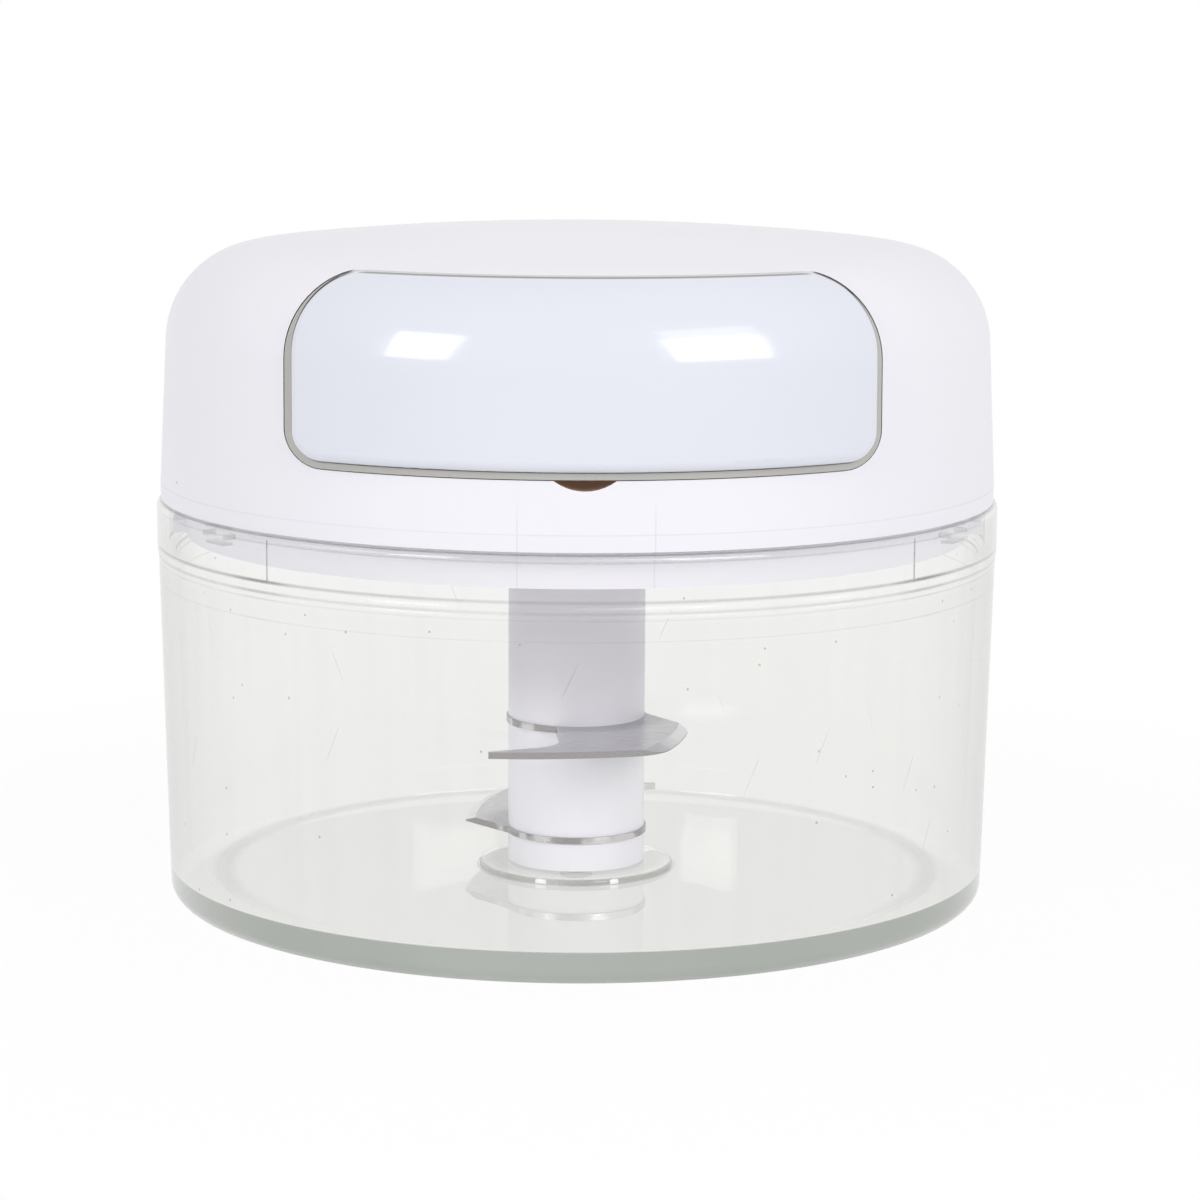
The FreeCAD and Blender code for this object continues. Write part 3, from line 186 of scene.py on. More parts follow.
class Finish:
    """The nodes of one material, or of the room."""

    def __init__(self, name, owner=None):
        self.owner = owner or bpy.data.materials.new(name)
        self.owner.use_nodes = True
        self.tree = self.owner.node_tree
        self.shader = self.tree.nodes.get("Principled BSDF")

    def node(self, kind, settings=None, sockets=None, output=0):
        """Adds a node: its settings first, then the values or links of its sockets."""
        made = self.tree.nodes.new("ShaderNode" + kind)
        for name, value in (settings or {}).items():
            setattr(made, name, value)
        for name, value in (sockets or {}).items():
            self.join(made.inputs[name], value)
        return Wire(self, made.outputs[output])

    def join(self, socket, value):
        if isinstance(value, Wire):
            self.tree.links.new(value.socket, socket)
        else:
            socket.default_value = value

    def set(self, **sockets):
        """Values or links of the shader's own sockets, with _ for a space in a name."""
        for name, value in sockets.items():
            self.join(self.shader.inputs[name.replace("_", " ")], value)
        return self

    def mix(self, share, first, second):
        """Colour between two others. A Mix node has its colours at sockets 6, 7 and output 2."""
        return self.node("Mix", {"data_type": "RGBA"}, {0: share, 6: first, 7: second}, 2)

    def place(self):
        """Where a point of the part is, in metres, whichever piece it is on."""
        return self.node("TexCoord", output="Object")

    def xyz(self, vector=None):
        """The three parts of a vector, at first of the place on the part."""
        apart = self.node("SeparateXYZ", None, {"Vector": vector or self.place()})
        return [apart.also(axis) for axis in "XYZ"]

    def stretched(self, scales, where=None):
        """The place with each direction scaled, for a grain or for scratches."""
        sockets = {0: where or self.place(), 1: scales}
        return self.node("VectorMath", {"operation": "MULTIPLY"}, sockets)

    def noise(self, scale, detail=2.0, where=None):
        """Soft cloudy values from 0 to 1; scale is in waves to the metre."""
        sockets = {"Vector": where or self.place(), "Scale": scale, "Detail": detail}
        return self.node("TexNoise", None, sockets)

    def grain(self, scales, detail):
        """Noise with its own scale along x, y and z, as grinding or rolling leaves it."""
        return self.noise(1.0, detail, self.stretched(scales))

    def bump(self, height, strength, distance):
        sockets = {"Height": height, "Strength": strength, "Distance": distance}
        return self.node("Bump", None, sockets)

    def painted(self):
        """The material's own shader, for a layer."""
        return Wire(self, self.shader.outputs[0])

    def layer(self, share, under, over):
        """Two shaders, of which the second shows by its share."""
        return self.node("MixShader", None, {0: share, 1: under, 2: over})

    def show(self, shader):
        """Makes a shader the one that is seen."""
        self.join(self.tree.nodes["Material Output"].inputs["Surface"], shader)


def seen_directly(finish):
    """1 for what the camera sees straight on, in a gloss or through clear plastic."""
    path = finish.node("LightPath")
    straight_or_gloss = path.also("Is Camera Ray").most(path.also("Is Glossy Ray"))
    return straight_or_gloss.most(path.also("Is Transmission Ray"))


world = bpy.data.worlds.new("room")
scene.world = world
room = Finish("room", world)
backdrop = world.node_tree.nodes["Background"]
room.join(backdrop.inputs["Color"], ROOM_WHITE)
upwards = room.xyz(room.node("TexCoord", output="Generated"))[2]
room_light = upwards.most(0.0) * ROOM_LIGHT_ABOVE + ROOM_LIGHT_LEVEL
room.join(backdrop.inputs["Strength"], room_light.most(seen_directly(room)))

table_mesh = bpy.data.meshes.new("table")
table_corners = [(x * TABLE_HALF, y * TABLE_HALF, -TABLE_DROP)
                 for x, y in ((-1, -1), (1, -1), (1, 1), (-1, 1))]
table_mesh.from_pydata(table_corners, [], [(0, 1, 2, 3)])
table = bpy.data.objects.new("table", table_mesh)
scene.collection.objects.link(table)
table_top = Finish("table_top")
table_top.set(Base_Color=TABLE_WHITE, Roughness=TABLE_ROUGHNESS, Specular_IOR_Level=0.0)
away = table_top.node("VectorMath", {"operation": "LENGTH"}, {0: table_top.place()}, "Value")
glow_share = seen_directly(table_top) * away.ramp(*TABLE_EDGE).between(TABLE_GLOW, 1.0)
glow = table_top.node("Emission", None, {"Color": ROOM_WHITE, "Strength": 1.0})
table_top.show(table_top.layer(glow_share, table_top.painted(), glow))
table_mesh.materials.append(table_top.owner)


# ---------------------------------------------------------------- lamps
# Two soft boxes in front, one on each side and a little above the lid, and a narrow card over the
# right one. They give the bright patches on the glossy handle.
LAMP_AIM = (0.0, 0.0, 0.07)
# Name, place, width, height and watts of each.
LAMPS = (("lamp_left", (-0.79, -0.84, 0.58), 0.38, 0.50, 3.35),
         ("lamp_right", (0.705, -0.919, 0.58), 0.58, 0.48, 4.1),
         ("card_right", (0.70, -0.90, 0.98), 0.60, 0.20, 0.8))
LIGHT_BOUNCES = 32
CLEAR_LAYERS = 48

for name, at, width, height, watts in LAMPS:
    light = bpy.data.lights.new(name, "AREA")
    light.shape = "RECTANGLE"
    light.size = width
    light.size_y = height
    light.energy = watts
    holder = bpy.data.objects.new(name, light)
    scene.collection.objects.link(holder)
    holder.location = at
    holder.rotation_euler = (Vector(LAMP_AIM) - Vector(at)).to_track_quat("-Z", "Y").to_euler()
scene.cycles.max_bounces = LIGHT_BOUNCES
scene.cycles.transparent_max_bounces = CLEAR_LAYERS


# ---------------------------------------------------------------- bowl
# Clear bowl, injection moulded in one piece, with a heavy foot, a stepped collar for the lid and
# four small lugs that lock it. Use has left fine scratches and specks on its wall.
bowl_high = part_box("bowl")[1]
BOWL_R = bowl_high.x
BOWL_TOP = bowl_high.z
COLLAR_HEIGHT = 7.1 * MM
COLLAR_SLOPE = 1.8 * MM
COLLAR_WALL = 2.6 * MM
COLLAR_STEP = 0.2 * MM
LIP_ROUND = 1.0 * MM
WALL_TAPER = 1.25 * MM
WALL = 2.7 * MM
FOOT_ROUND = 2.3 * MM
FLOOR_TOP = 3.0 * MM
FLOOR_ROUND = 5.0 * MM
BOSS_R = 15.2 * MM
BOSS_RISE = 0.9 * MM
BOSS_ROUND = 0.5 * MM
PIN_HOLE_R = 2.5 * MM
PIN_HOLE_Z = 1.2 * MM
RECESS_DEPTH = 0.8 * MM
RECESS_HALF = math.radians(42.0)
RECESS_LEDGE = 0.02 * MM
RECESS_END = math.radians(0.02)
BOWL_TURN = math.radians(2.0)
BOWL_STEPS = 240
ROUND_STEPS = 6
ROUND_STRAIGHT = 0.3 * MM
LUG_TURN = math.radians(29.5)
LUG_IN_R = 61.4 * MM
LUG_DEEP = 1.85 * MM
LUG_LONG = 7.0 * MM
LUG_HIGH = 2.7 * MM
LUG_ROUND = 1.0 * MM
LUG_ROUND_STEPS = 5
LUG_DROP = 0.5 * MM
POINTS_MEET = 1e-7

collar_z = BOWL_TOP - COLLAR_HEIGHT
wall_top_z = collar_z - COLLAR_SLOPE
collar_in_r = BOWL_R - COLLAR_WALL
recess_r = collar_in_r + RECESS_DEPTH
wall_top_r = BOWL_R - COLLAR_STEP
wall_foot_r = wall_top_r - WALL_TAPER
wall_in_r = wall_foot_r - WALL
floor_edge_r = wall_in_r - FLOOR_ROUND
lug_z = BOWL_TOP - LUG_DROP - LUG_HIGH / 2


def rounding(r, z, radius, start, end):
    """Rounded corner of a section, about a centre, between two angles in degrees. A short straight
    bit on each side keeps the flats beside it flat in their shading."""
    step = (end - start) / ROUND_STEPS
    angles = [math.radians(start + step * k) for k in range(ROUND_STEPS + 1)]
    points = [(r + radius * math.cos(angle), z + radius * math.sin(angle)) for angle in angles]
    first, last = angles[0], angles[-1]
    bit = math.copysign(ROUND_STRAIGHT, end - start)
    before = (points[0][0] + bit * math.sin(first), points[0][1] - bit * math.cos(first))
    after = (points[-1][0] - bit * math.sin(last), points[-1][1] + bit * math.cos(last))
    return [before, *points, after]


def turn_solid(body, section, angles):
    """Turns a section about the upright axis. The section is a function of the angle."""
    rings = []
    for angle in angles:
        points = [(r * math.cos(angle), r * math.sin(angle), z) for r, z in section(angle)]
        rings.append([body.verts.new(point) for point in points])
    for ring, following in zip(rings, rings[1:] + rings[:1]):
        for k in range(len(ring) - 1):
            body.faces.new((ring[k], following[k], following[k + 1], ring[k + 1]))


def finished_piece(name, body, smooth_under=40.0):
    """Joins points that meet, drops empty faces and shades the rest smooth up to an angle."""
    bmesh.ops.remove_doubles(body, verts=body.verts, dist=POINTS_MEET)
    bmesh.ops.dissolve_degenerate(body, edges=body.edges, dist=POINTS_MEET)
    bmesh.ops.recalc_face_normals(body, faces=body.faces)
    mesh = bpy.data.meshes.new(name)
    body.to_mesh(mesh)
    body.free()
    mesh.shade_smooth()
    mesh.set_sharp_from_angle(angle=math.radians(smooth_under))
    made = bpy.data.objects.new(name, mesh)
    scene.collection.objects.link(made)
    return made


def bowl_section(angle):
    """From the middle of the underside out, up the wall, and back in over the floor and boss."""
    side = (angle - BOWL_TURN) % math.pi
    in_recess = side < RECESS_HALF or side > math.pi - RECESS_HALF
    collar_r = recess_r if in_recess else collar_in_r
    boss_top = FLOOR_TOP + BOSS_RISE
    points = [(0.0, 0.0)]
    points += rounding(wall_foot_r - FOOT_ROUND, FOOT_ROUND, FOOT_ROUND, -90, 0)
    points += [(wall_top_r, wall_top_z), (BOWL_R, collar_z)]
    points += rounding(BOWL_R - LIP_ROUND, BOWL_TOP - LIP_ROUND, LIP_ROUND, 0, 90)
    points += [(collar_r, BOWL_TOP), (collar_r, collar_z), (collar_in_r, collar_z - RECESS_LEDGE)]
    points += [(wall_top_r - WALL, wall_top_z)]
    points += rounding(floor_edge_r, FLOOR_TOP + FLOOR_ROUND, FLOOR_ROUND, 0, -90)
    points += [(BOSS_R, FLOOR_TOP)]
    points += rounding(BOSS_R - BOSS_ROUND, boss_top - BOSS_ROUND, BOSS_ROUND, 0, 90)
    points += [(PIN_HOLE_R, boss_top), (PIN_HOLE_R, PIN_HOLE_Z), (0.0, PIN_HOLE_Z)]
    return points


def add_lug(body, direction):
    """One pill-shaped lug, lying along the inside of the collar."""
    lug = bmesh.ops.create_cube(body, size=1.0)["verts"]
    bmesh.ops.scale(body, vec=(LUG_DEEP, LUG_LONG, LUG_HIGH), verts=lug)
    deep_edges = {edge for vert in lug for edge in vert.link_edges
                  if abs(edge.verts[0].co.x - edge.verts[1].co.x) > LUG_DEEP / 2}
    rounded = bmesh.ops.bevel(body, geom=list(deep_edges), offset=LUG_ROUND,
                              segments=LUG_ROUND_STEPS, affect="EDGES")["faces"]
    lug = list({vert for face in rounded for vert in face.verts})
    for face in {face for vert in lug for face in vert.link_faces}:
        face.material_index = 1
    bmesh.ops.translate(body, vec=(LUG_IN_R + LUG_DEEP / 2, 0, lug_z), verts=lug)
    turned = Matrix.Rotation(direction, 3, "Z")
    bmesh.ops.rotate(body, cent=(0, 0, 0), matrix=turned, verts=lug)


sides = [BOWL_TURN, BOWL_TURN + math.pi]
recess_ends = [side + turn * RECESS_HALF for side in sides for turn in (-1, 1)]
bowl_angles = [2 * math.pi * step / BOWL_STEPS for step in range(BOWL_STEPS)]
bowl_angles += [(end + turn * RECESS_END) % (2 * math.pi)
                for end in recess_ends for turn in (-1, 1)]
bowl_mesh = bmesh.new()
turn_solid(bowl_mesh, bowl_section, sorted(bowl_angles))
for side in sides:
    for turn in (-1, 1):
        add_lug(bowl_mesh, side + turn * LUG_TURN)
bowl = finished_piece("clear_bowl", bowl_mesh)

CLEAR_TINT = (0.932, 0.934, 0.921, 1.0)
CLEAR_TINT_SLANT = (0.70, 0.703, 0.688, 1.0)
GLEAM = (0.93, 0.93, 0.93, 1.0)
GLEAM_ROUGHNESS = 0.02
MARK_ROUGHNESS = 0.35
# Tint and gleam rise with these powers of the slant, the last one as any smooth surface has it.
TINT_POWER = 4
GLEAM_POWER = 5
# A pair that names a place on the bowl holds the two ends of a ramp: 0 at the first, 1 at the
# second. The outer wall, the underside and the lip's top carry the tint.
OUTER_WALL = (recess_r + 0.1 * MM, recess_r + 0.3 * MM)
UNDERSIDE = (2.6 * MM, 2.3 * MM)
LIP_TOP = (BOWL_TOP - 0.2 * MM, BOWL_TOP - 0.1 * MM)
# Up at the collar the tint is weaker, as painted light on the lid's skirt that shows behind it.
UP_TO_COLLAR = (wall_top_z - 2.0 * MM, collar_z)
COLLAR_TINT_LOSS = 0.5
# The share that gleams: straight on, on the inner skin and on the back wall. The floor gleams in
# full, and the face that the bowl stands on doesn't.
GLEAM_STRAIGHT = 0.04
GLEAM_INSIDE = 0.15
GLEAM_AT_BACK = 0.8
ABOVE_UNDERSIDE = 2.6 * MM
ON_FLOOR = (floor_edge_r + 0.5 * MM, floor_edge_r)
AT_BACK = (5.0 * MM, 30.0 * MM)
BACK_FROM = (8.0 * MM, 10.0 * MM)
BACK_TO = (50.0 * MM, 45.0 * MM)
OFF_THE_TABLE = (0.2 * MM, 0.8 * MM)


def paint(red, green, blue):
    """Colour from the 0 to 255 numbers of a colour chart, by the sRGB curve."""
    shades = []
    for c in (red / 255, green / 255, blue / 255):
        shades.append(c / 12.92 if c <= 0.04045 else ((c + 0.055) / 1.055) ** 2.4)
    return (*shades, 1.0)


def clear_plastic(name, marks_of):
    """Thin clear plastic. It tints what is behind it and gleams at a slant. Its marks are solid."""
    made = Finish(name).set(Roughness=MARK_ROUGHNESS)
    x, y, z = made.xyz()
    radius = (x * x + y * y).root()
    skin = radius.ramp(*OUTER_WALL).most(z.ramp(*UNDERSIDE)).most(z.ramp(*LIP_TOP))
    on_floor = radius.ramp(*ON_FLOOR) * (z > ABOVE_UNDERSIDE)
    at_back = y.ramp(*AT_BACK) * z.ramp(*BACK_FROM) * z.ramp(*BACK_TO) * GLEAM_AT_BACK
    gleam_share = skin.between(GLEAM_INSIDE, 1.0).most(on_floor).most(at_back)
    gleam_share = gleam_share * z.ramp(*OFF_THE_TABLE)
    slant = made.node("LayerWeight", None, {"Blend": 0.5}, "Facing")
    straight = made.node("BsdfTransparent", None, {"Color": CLEAR_TINT})
    slanting = made.node("BsdfTransparent", None, {"Color": CLEAR_TINT_SLANT})
    untinted = made.node("BsdfTransparent", None, {"Color": ROOM_WHITE})
    tinted = made.layer(slant.power(TINT_POWER), straight, slanting)
    tint_share = skin * (1 - z.ramp(*UP_TO_COLLAR) * COLLAR_TINT_LOSS)
    through = made.layer(tint_share, untinted, tinted)
    marks, shade = marks_of(made)
    made.set(Base_Color=shade)
    marked = made.layer(marks, through, made.painted())
    gleam = made.node("BsdfGlossy", None, {"Color": GLEAM, "Roughness": GLEAM_ROUGHNESS})
    mirror_share = slant.power(GLEAM_POWER).between(GLEAM_STRAIGHT, 1.0) * gleam_share
    seen = made.layer(mirror_share, marked, gleam)
    path = made.node("LightPath")
    lighting = path.also("Is Shadow Ray").most(path.also("Is Diffuse Ray"))
    made.show(made.layer(lighting, seen, untinted))
    return made


FOOT_SHADE = paint(139, 146, 137)
# Painted shade of the collar's edge lines.
LINE_SHADE = paint(112, 117, 113)
MARK_SHADE = paint(140, 139, 136)
# Colour of the painted glints.
PAINTED_GLINT_WHITE = paint(254, 254, 252)
OUTSIDE = (wall_in_r + 0.1 * MM, wall_in_r + 0.5 * MM)
FLOOR_MARKS_TOP = 6.0 * MM
CLOUDS = 22.0
# The foot's green band: the tint of thick plastic, painted on together with the shade that light
# caught in the foot gives it.
FOOT_BAND = (5.12 * MM, 4.88 * MM)
FOOT_BAND_SHARE = (0.65, 0.95)
# Height, half width and strength of each dark line that the collar's edges show, painted on as
# the shade that their refraction gives.
LIP_LINES = ((61.9 * MM, 0.2 * MM, 0.75), (60.9 * MM, 0.25 * MM, 0.3))
STEP_LINES = ((55.3 * MM, 0.42 * MM, 0.8), (53.7 * MM, 0.4 * MM, 0.45),
              (52.7 * MM, 0.25 * MM, 0.2), (49.7 * MM, 0.2 * MM, 0.16))
# Painted glints: height, half width and strength of each light line along the collar.
GLINT_LINES = ((61.4 * MM, 0.22 * MM, 0.5), (54.5 * MM, 0.35 * MM, 0.85),
               (53.3 * MM, 0.25 * MM, 0.6))
LINE_SHARE = (0.5, 1.3)
STEP_LINE_LEAST = 0.4
STEP_LINE_AT_SIDES = 0.6
STEP_LINE_AT_ENDS = 0.7
GLINT_CLOUDS = 45.0
GLINT_GAPS = (0.4, 0.7)
# The painted dark upright line at each end of a recess, and how far along the collar it darkens
# the others.
END_LINE_HALF = 0.16 * MM
END_LINE_DEPTH = 0.3 * MM
END_LINE_SHARE = 0.75
END_REACH = 9.0 * MM
LINE_SEEN = 0.05
# The shade in the corner of the floor, which fades to the front.
CORNER_R = 55.2 * MM
CORNER_HALF = 2.6 * MM
CORNER_FADE = (-46.0 * MM, -10.0 * MM)
CORNER_SHARE = (0.14, 0.34)
# The boss: its side and top painted grey-green, and a painted glint at each side of the post.
BOSS_CLOUDS = 160.0
BOSS_SIDE_HALF = 0.7 * MM
BOSS_SIDE_FROM = (FLOOR_TOP - 0.1 * MM, FLOOR_TOP + 0.1 * MM)
BOSS_SIDE_SHARE = (0.25, 1.05)
BOSS_TOP = (BOSS_R - 0.3 * MM, BOSS_R - 3.0 * MM)
BOSS_TOP_SHARE = 0.2
BOSS_GLINT_X = 5.7 * MM
BOSS_GLINT_HALF = 1.9 * MM
BOSS_GLINT_DEPTH = 0.5 * MM
BOSS_GLINT_FROM = FLOOR_TOP + 0.1 * MM
# Wear: scratches that lean, specks, faint upright streaks, and grey streaks at the collar's sides.
# Each cell of a pattern holds one mark, and a cell whose random number is too low has none.
SCRATCH_LEAN = math.radians(-24)
SCRATCH_CELLS = (420.0, 16.0, 1.0)
SCRATCH_LINE = (0.06, 0.03)
SCRATCHES_FROM = 0.88
SCRATCH_SHARE = 0.14
SPECK_CELLS = 190.0
SPECK_DOT = (0.05, 0.025)
SPECKS_FROM = 0.92
SPECK_SHARE = 0.5
STREAKS = (260.0, 260.0, 12.0)
STREAK_TONES = (0.4, 0.9)
STREAK_SHARE = 0.03
GREY_AT_SIDES = (0.72, 0.9)
SIDE_GREY_SHARE = 0.4


def cells(finish, where, scale):
    """Flat pattern of random cells: the distance to a cell's middle, and a number of its own."""
    sockets = {"Vector": where, "Scale": scale}
    found = finish.node("TexVoronoi", {"voronoi_dimensions": "2D"}, sockets)
    return found, finish.xyz(found.also("Color"))[0]


def edge_lines(height, lines):
    """Level lines round the wall, each with its height, half width and strength."""
    drawn = 0.0
    for at, width, strength in lines:
        drawn = (height.near(at, width) * strength).most(drawn)
    return drawn


def bowl_marks(made):
    """The foot's green band, the collar's painted dark edge lines and glints, painted shade in the
    floor's corner, the boss, and the scratches and specks of use.
    """
    x, y, z = made.xyz()
    radius = (x * x + y * y).root()
    outer_face = 1 - made.node("NewGeometry", output="Backfacing")
    outside = radius.ramp(*OUTSIDE) * outer_face
    cloud = made.noise(CLOUDS, detail=3.0)
    to_side = x * x / BOWL_R ** 2
    band = z.ramp(*FOOT_BAND) * outside

    ends = 0.0
    near_end = 0.0
    for end in recess_ends:
        across = x * math.sin(end) - y * math.cos(end)
        outwards = x * math.cos(end) + y * math.sin(end) > 0.0
        ends = (across.near(0.0, END_LINE_HALF) * outwards).most(ends)
        near_end = (across.near(0.0, END_REACH) * outwards).most(near_end)
    ends = ends * (z > collar_z) * (z < BOWL_TOP - LIP_ROUND)
    ends = ends * radius.near(recess_r, END_LINE_DEPTH) * END_LINE_SHARE
    step_share = to_side * STEP_LINE_AT_SIDES + near_end * STEP_LINE_AT_ENDS + STEP_LINE_LEAST
    lines = (edge_lines(z, STEP_LINES) * step_share).most(edge_lines(z, LIP_LINES))
    edges = (lines * outside * cloud.between(*LINE_SHARE)).most(ends)
    glints = edge_lines(z, GLINT_LINES) * outside * made.noise(GLINT_CLOUDS).ramp(*GLINT_GAPS)

    corner = radius.near(CORNER_R, CORNER_HALF) * (z > ABOVE_UNDERSIDE) * (z < FLOOR_MARKS_TOP)
    corner = corner * y.ramp(*CORNER_FADE) * cloud.between(*CORNER_SHARE)
    boss_side = radius.near(BOSS_R, BOSS_SIDE_HALF) * z.ramp(*BOSS_SIDE_FROM)
    boss_side = boss_side * made.noise(BOSS_CLOUDS).between(*BOSS_SIDE_SHARE)
    boss_top = radius.ramp(*BOSS_TOP) * (z > FLOOR_TOP + BOSS_RISE / 2) * (z < FLOOR_MARKS_TOP)
    boss = boss_side.most(boss_top * BOSS_TOP_SHARE) * outer_face
    boss_glint = abs(x).near(BOSS_GLINT_X, BOSS_GLINT_HALF) * (y < 0.0)
    boss_glint = boss_glint * radius.near(BOSS_R, BOSS_GLINT_DEPTH) * (z > BOSS_GLINT_FROM)
    glints = glints.most(boss_glint * (z < FLOOR_MARKS_TOP) * outer_face)

    around = x.atan2(y) * BOWL_R
    wall_sheet = made.node("CombineXYZ", None, {"X": around, "Y": z, "Z": 0.0})
    leaning = made.node("VectorRotate", {"rotation_type": "Z_AXIS"},
                        {"Vector": wall_sheet, "Angle": SCRATCH_LEAN})
    scratch, scratch_number = cells(made, made.stretched(SCRATCH_CELLS, leaning), 1.0)
    scratches = scratch.ramp(*SCRATCH_LINE) * (scratch_number > SCRATCHES_FROM)
    speck, speck_number = cells(made, wall_sheet, SPECK_CELLS)
    specks = speck.ramp(*SPECK_DOT) * (speck_number > SPECKS_FROM)
    streaks = made.grain(STREAKS, detail=2.0)
    wear = (scratches * SCRATCH_SHARE).most(specks * SPECK_SHARE)
    wear = wear.most(streaks.ramp(*STREAK_TONES) * STREAK_SHARE) * outside * (z < collar_z)
    side_grey = to_side.ramp(*GREY_AT_SIDES) * (z > collar_z) * outside * (streaks * SIDE_GREY_SHARE)

    marks = (band * cloud.between(*FOOT_BAND_SHARE)).most(edges).most(glints).most(corner)
    marks = marks.most(boss).most(wear).most(side_grey)
    shade = made.mix(edges > LINE_SEEN, MARK_SHADE, LINE_SHADE)
    shade = made.mix(band.most(boss), shade, FOOT_SHADE)
    return marks, made.mix(glints > edges.most(boss), shade, PAINTED_GLINT_WHITE)


# Painted shade on the lug's rim.
LUG_SHADE = paint(160, 163, 160)
LUG_RIM_LONG = (LUG_LONG / 2 - 1.5 * MM, LUG_LONG / 2 - 0.2 * MM)
LUG_RIM_HIGH = (LUG_HIGH / 2 - 0.9 * MM, LUG_HIGH / 2)
LUG_RIM_SHARE = 0.35


def lug_marks(made):
    """The rounded rim of a lug is painted grey as shade, and its middle is clear."""
    x, y, z = made.xyz()
    along = x * math.cos(BOWL_TURN) + y * math.sin(BOWL_TURN)
    across = y * math.cos(BOWL_TURN) - x * math.sin(BOWL_TURN)
    from_middle = abs(abs(across).atan2(abs(along)) - LUG_TURN) * LUG_IN_R
    rim = from_middle.ramp(*LUG_RIM_LONG).most(abs(z - lug_z).ramp(*LUG_RIM_HIGH))
    return rim * LUG_RIM_SHARE, made.mix(rim, ROOM_WHITE, LUG_SHADE)


bowl.data.materials.append(clear_plastic("clear_plastic", bowl_marks).owner)
bowl.data.materials.append(clear_plastic("lug_plastic", lug_marks).owner)
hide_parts("bowl")
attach(bowl, "bowl")


# ---------------------------------------------------------------- pivot pin
# Stainless pin, ground round and pressed into the boss in the middle of the bowl's floor. The
# wheel has left fine rings on it.
STEEL = paint(205, 205, 208)
STEEL_DARK = paint(168, 169, 173)
PIN_RINGS = (300.0, 300.0, 9000.0)
PIN_ROUGHNESS = (0.12, 0.32)
# A relief is the strength of a bump and its depth.
PIN_RELIEF = (0.3, 0.005 * MM)


def dress(finish, *names):
    """Gives parts their finish."""
    for name in names:
        materials = nodes[name].data.materials
        materials.clear()
        materials.append(finish.owner)


pin_steel = Finish("pin_steel")
grinding = pin_steel.grain(PIN_RINGS, detail=4.0)
pin_steel.set(Base_Color=pin_steel.mix(grinding, STEEL_DARK, STEEL), Metallic=1.0,
              Roughness=grinding.between(*PIN_ROUGHNESS),
              Normal=pin_steel.bump(grinding, *PIN_RELIEF))
dress(pin_steel, "pivot_pin")


# ---------------------------------------------------------------- blade post
# Three white mouldings threaded on one core: the foot, the spacer between the blades and the
# head with its hexagon socket. They are satin, with the faint upright lines of the mould. Towards
# the head they are painted darker, as the shadow that the lid casts on them.
POST_WHITE = paint(249, 248, 253)
# Painted shade: the darker colour that the post takes towards its head, for the lid's shadow.
POST_LID_SHADOW = paint(230, 226, 233)
POST_SHADOW_RISE = (25.0 * MM, 36.0 * MM)
POST_SHADOW_SHARE = 0.8
POST_CLOUDS = 90.0
POST_CLOUD_SHARE = 0.25
POST_MOULD_LINES = (1400.0, 1400.0, 60.0)
POST_ROUGHNESS = (0.3, 0.42)
POST_RELIEF = (0.12, 0.03 * MM)

post_plastic = Finish("post_plastic")
lid_shadow_on_post = post_plastic.xyz()[2].ramp(*POST_SHADOW_RISE)
post_cloud = post_plastic.noise(POST_CLOUDS, detail=3.0)
mould_lines = post_plastic.grain(POST_MOULD_LINES, detail=3.0)
shadow_and_cloud = (lid_shadow_on_post * POST_SHADOW_SHARE + post_cloud * POST_CLOUD_SHARE).least(1.0)
post_plastic.set(Base_Color=post_plastic.mix(shadow_and_cloud, POST_WHITE, POST_LID_SHADOW),
                 Roughness=post_cloud.between(*POST_ROUGHNESS),
                 Normal=post_plastic.bump(mould_lines, *POST_RELIEF))
dress(post_plastic, "post_foot", "post_spacer", "post_head")


# ---------------------------------------------------------------- pin bush
# Plain bearing of acetal, pressed into the post's foot, that turns on the pin. Acetal keeps its
# natural milky colour, here and in the other mouldings that run against each other.
ACETAL = paint(222, 220, 212)
ACETAL_SHADE = paint(203, 200, 190)
ACETAL_CLOUDS = 70.0
ACETAL_SKIN = 2200.0
ACETAL_ROUGHNESS = (0.36, 0.51)
ACETAL_RELIEF = (0.15, 0.02 * MM)

works_plastic = Finish("works_plastic")
acetal_cloud = works_plastic.noise(ACETAL_CLOUDS, detail=4.0)
acetal_skin = works_plastic.noise(ACETAL_SKIN, detail=3.0)
works_plastic.set(Base_Color=works_plastic.mix(acetal_cloud, ACETAL, ACETAL_SHADE),
                  Roughness=acetal_skin.between(*ACETAL_ROUGHNESS),
                  Normal=works_plastic.bump(acetal_skin, *ACETAL_RELIEF))
dress(works_plastic, "pin_bush")


# ---------------------------------------------------------------- blades
# Two curved blades stamped from stainless sheet, each clamped between two parts of the post. The
# flat carries fine grinding marks and the bevel is ground brighter. The stamped edge is darker,
# from its rough cut and from painted shade, with painted glints on it. Near the post the flat
# carries painted shade and a painted reflection of the post.
BLADE_FACE = paint(199, 198, 203)
BLADE_BEVEL = paint(228, 228, 231)
# The cut edge's painted glint, its own dark tone with painted shade, and painted shade by the post.
BLADE_CUT_GLINT = paint(222, 219, 220)
BLADE_CUT_DARK = paint(168, 164, 166)
BLADE_SHADE_AT_POST = paint(158, 157, 165)
# How far a face looks up or down tells the flat from the bevel, and the bevel from the cut edge.
FLAT_LOOKS_UP = (0.96, 0.985)
CUT_LOOKS_UP = (0.5, 0.2)
GRINDING_MARKS = (60.0, 1600.0, 60.0)
SMEARS = 120.0
SMEAR_SHARE = 0.4
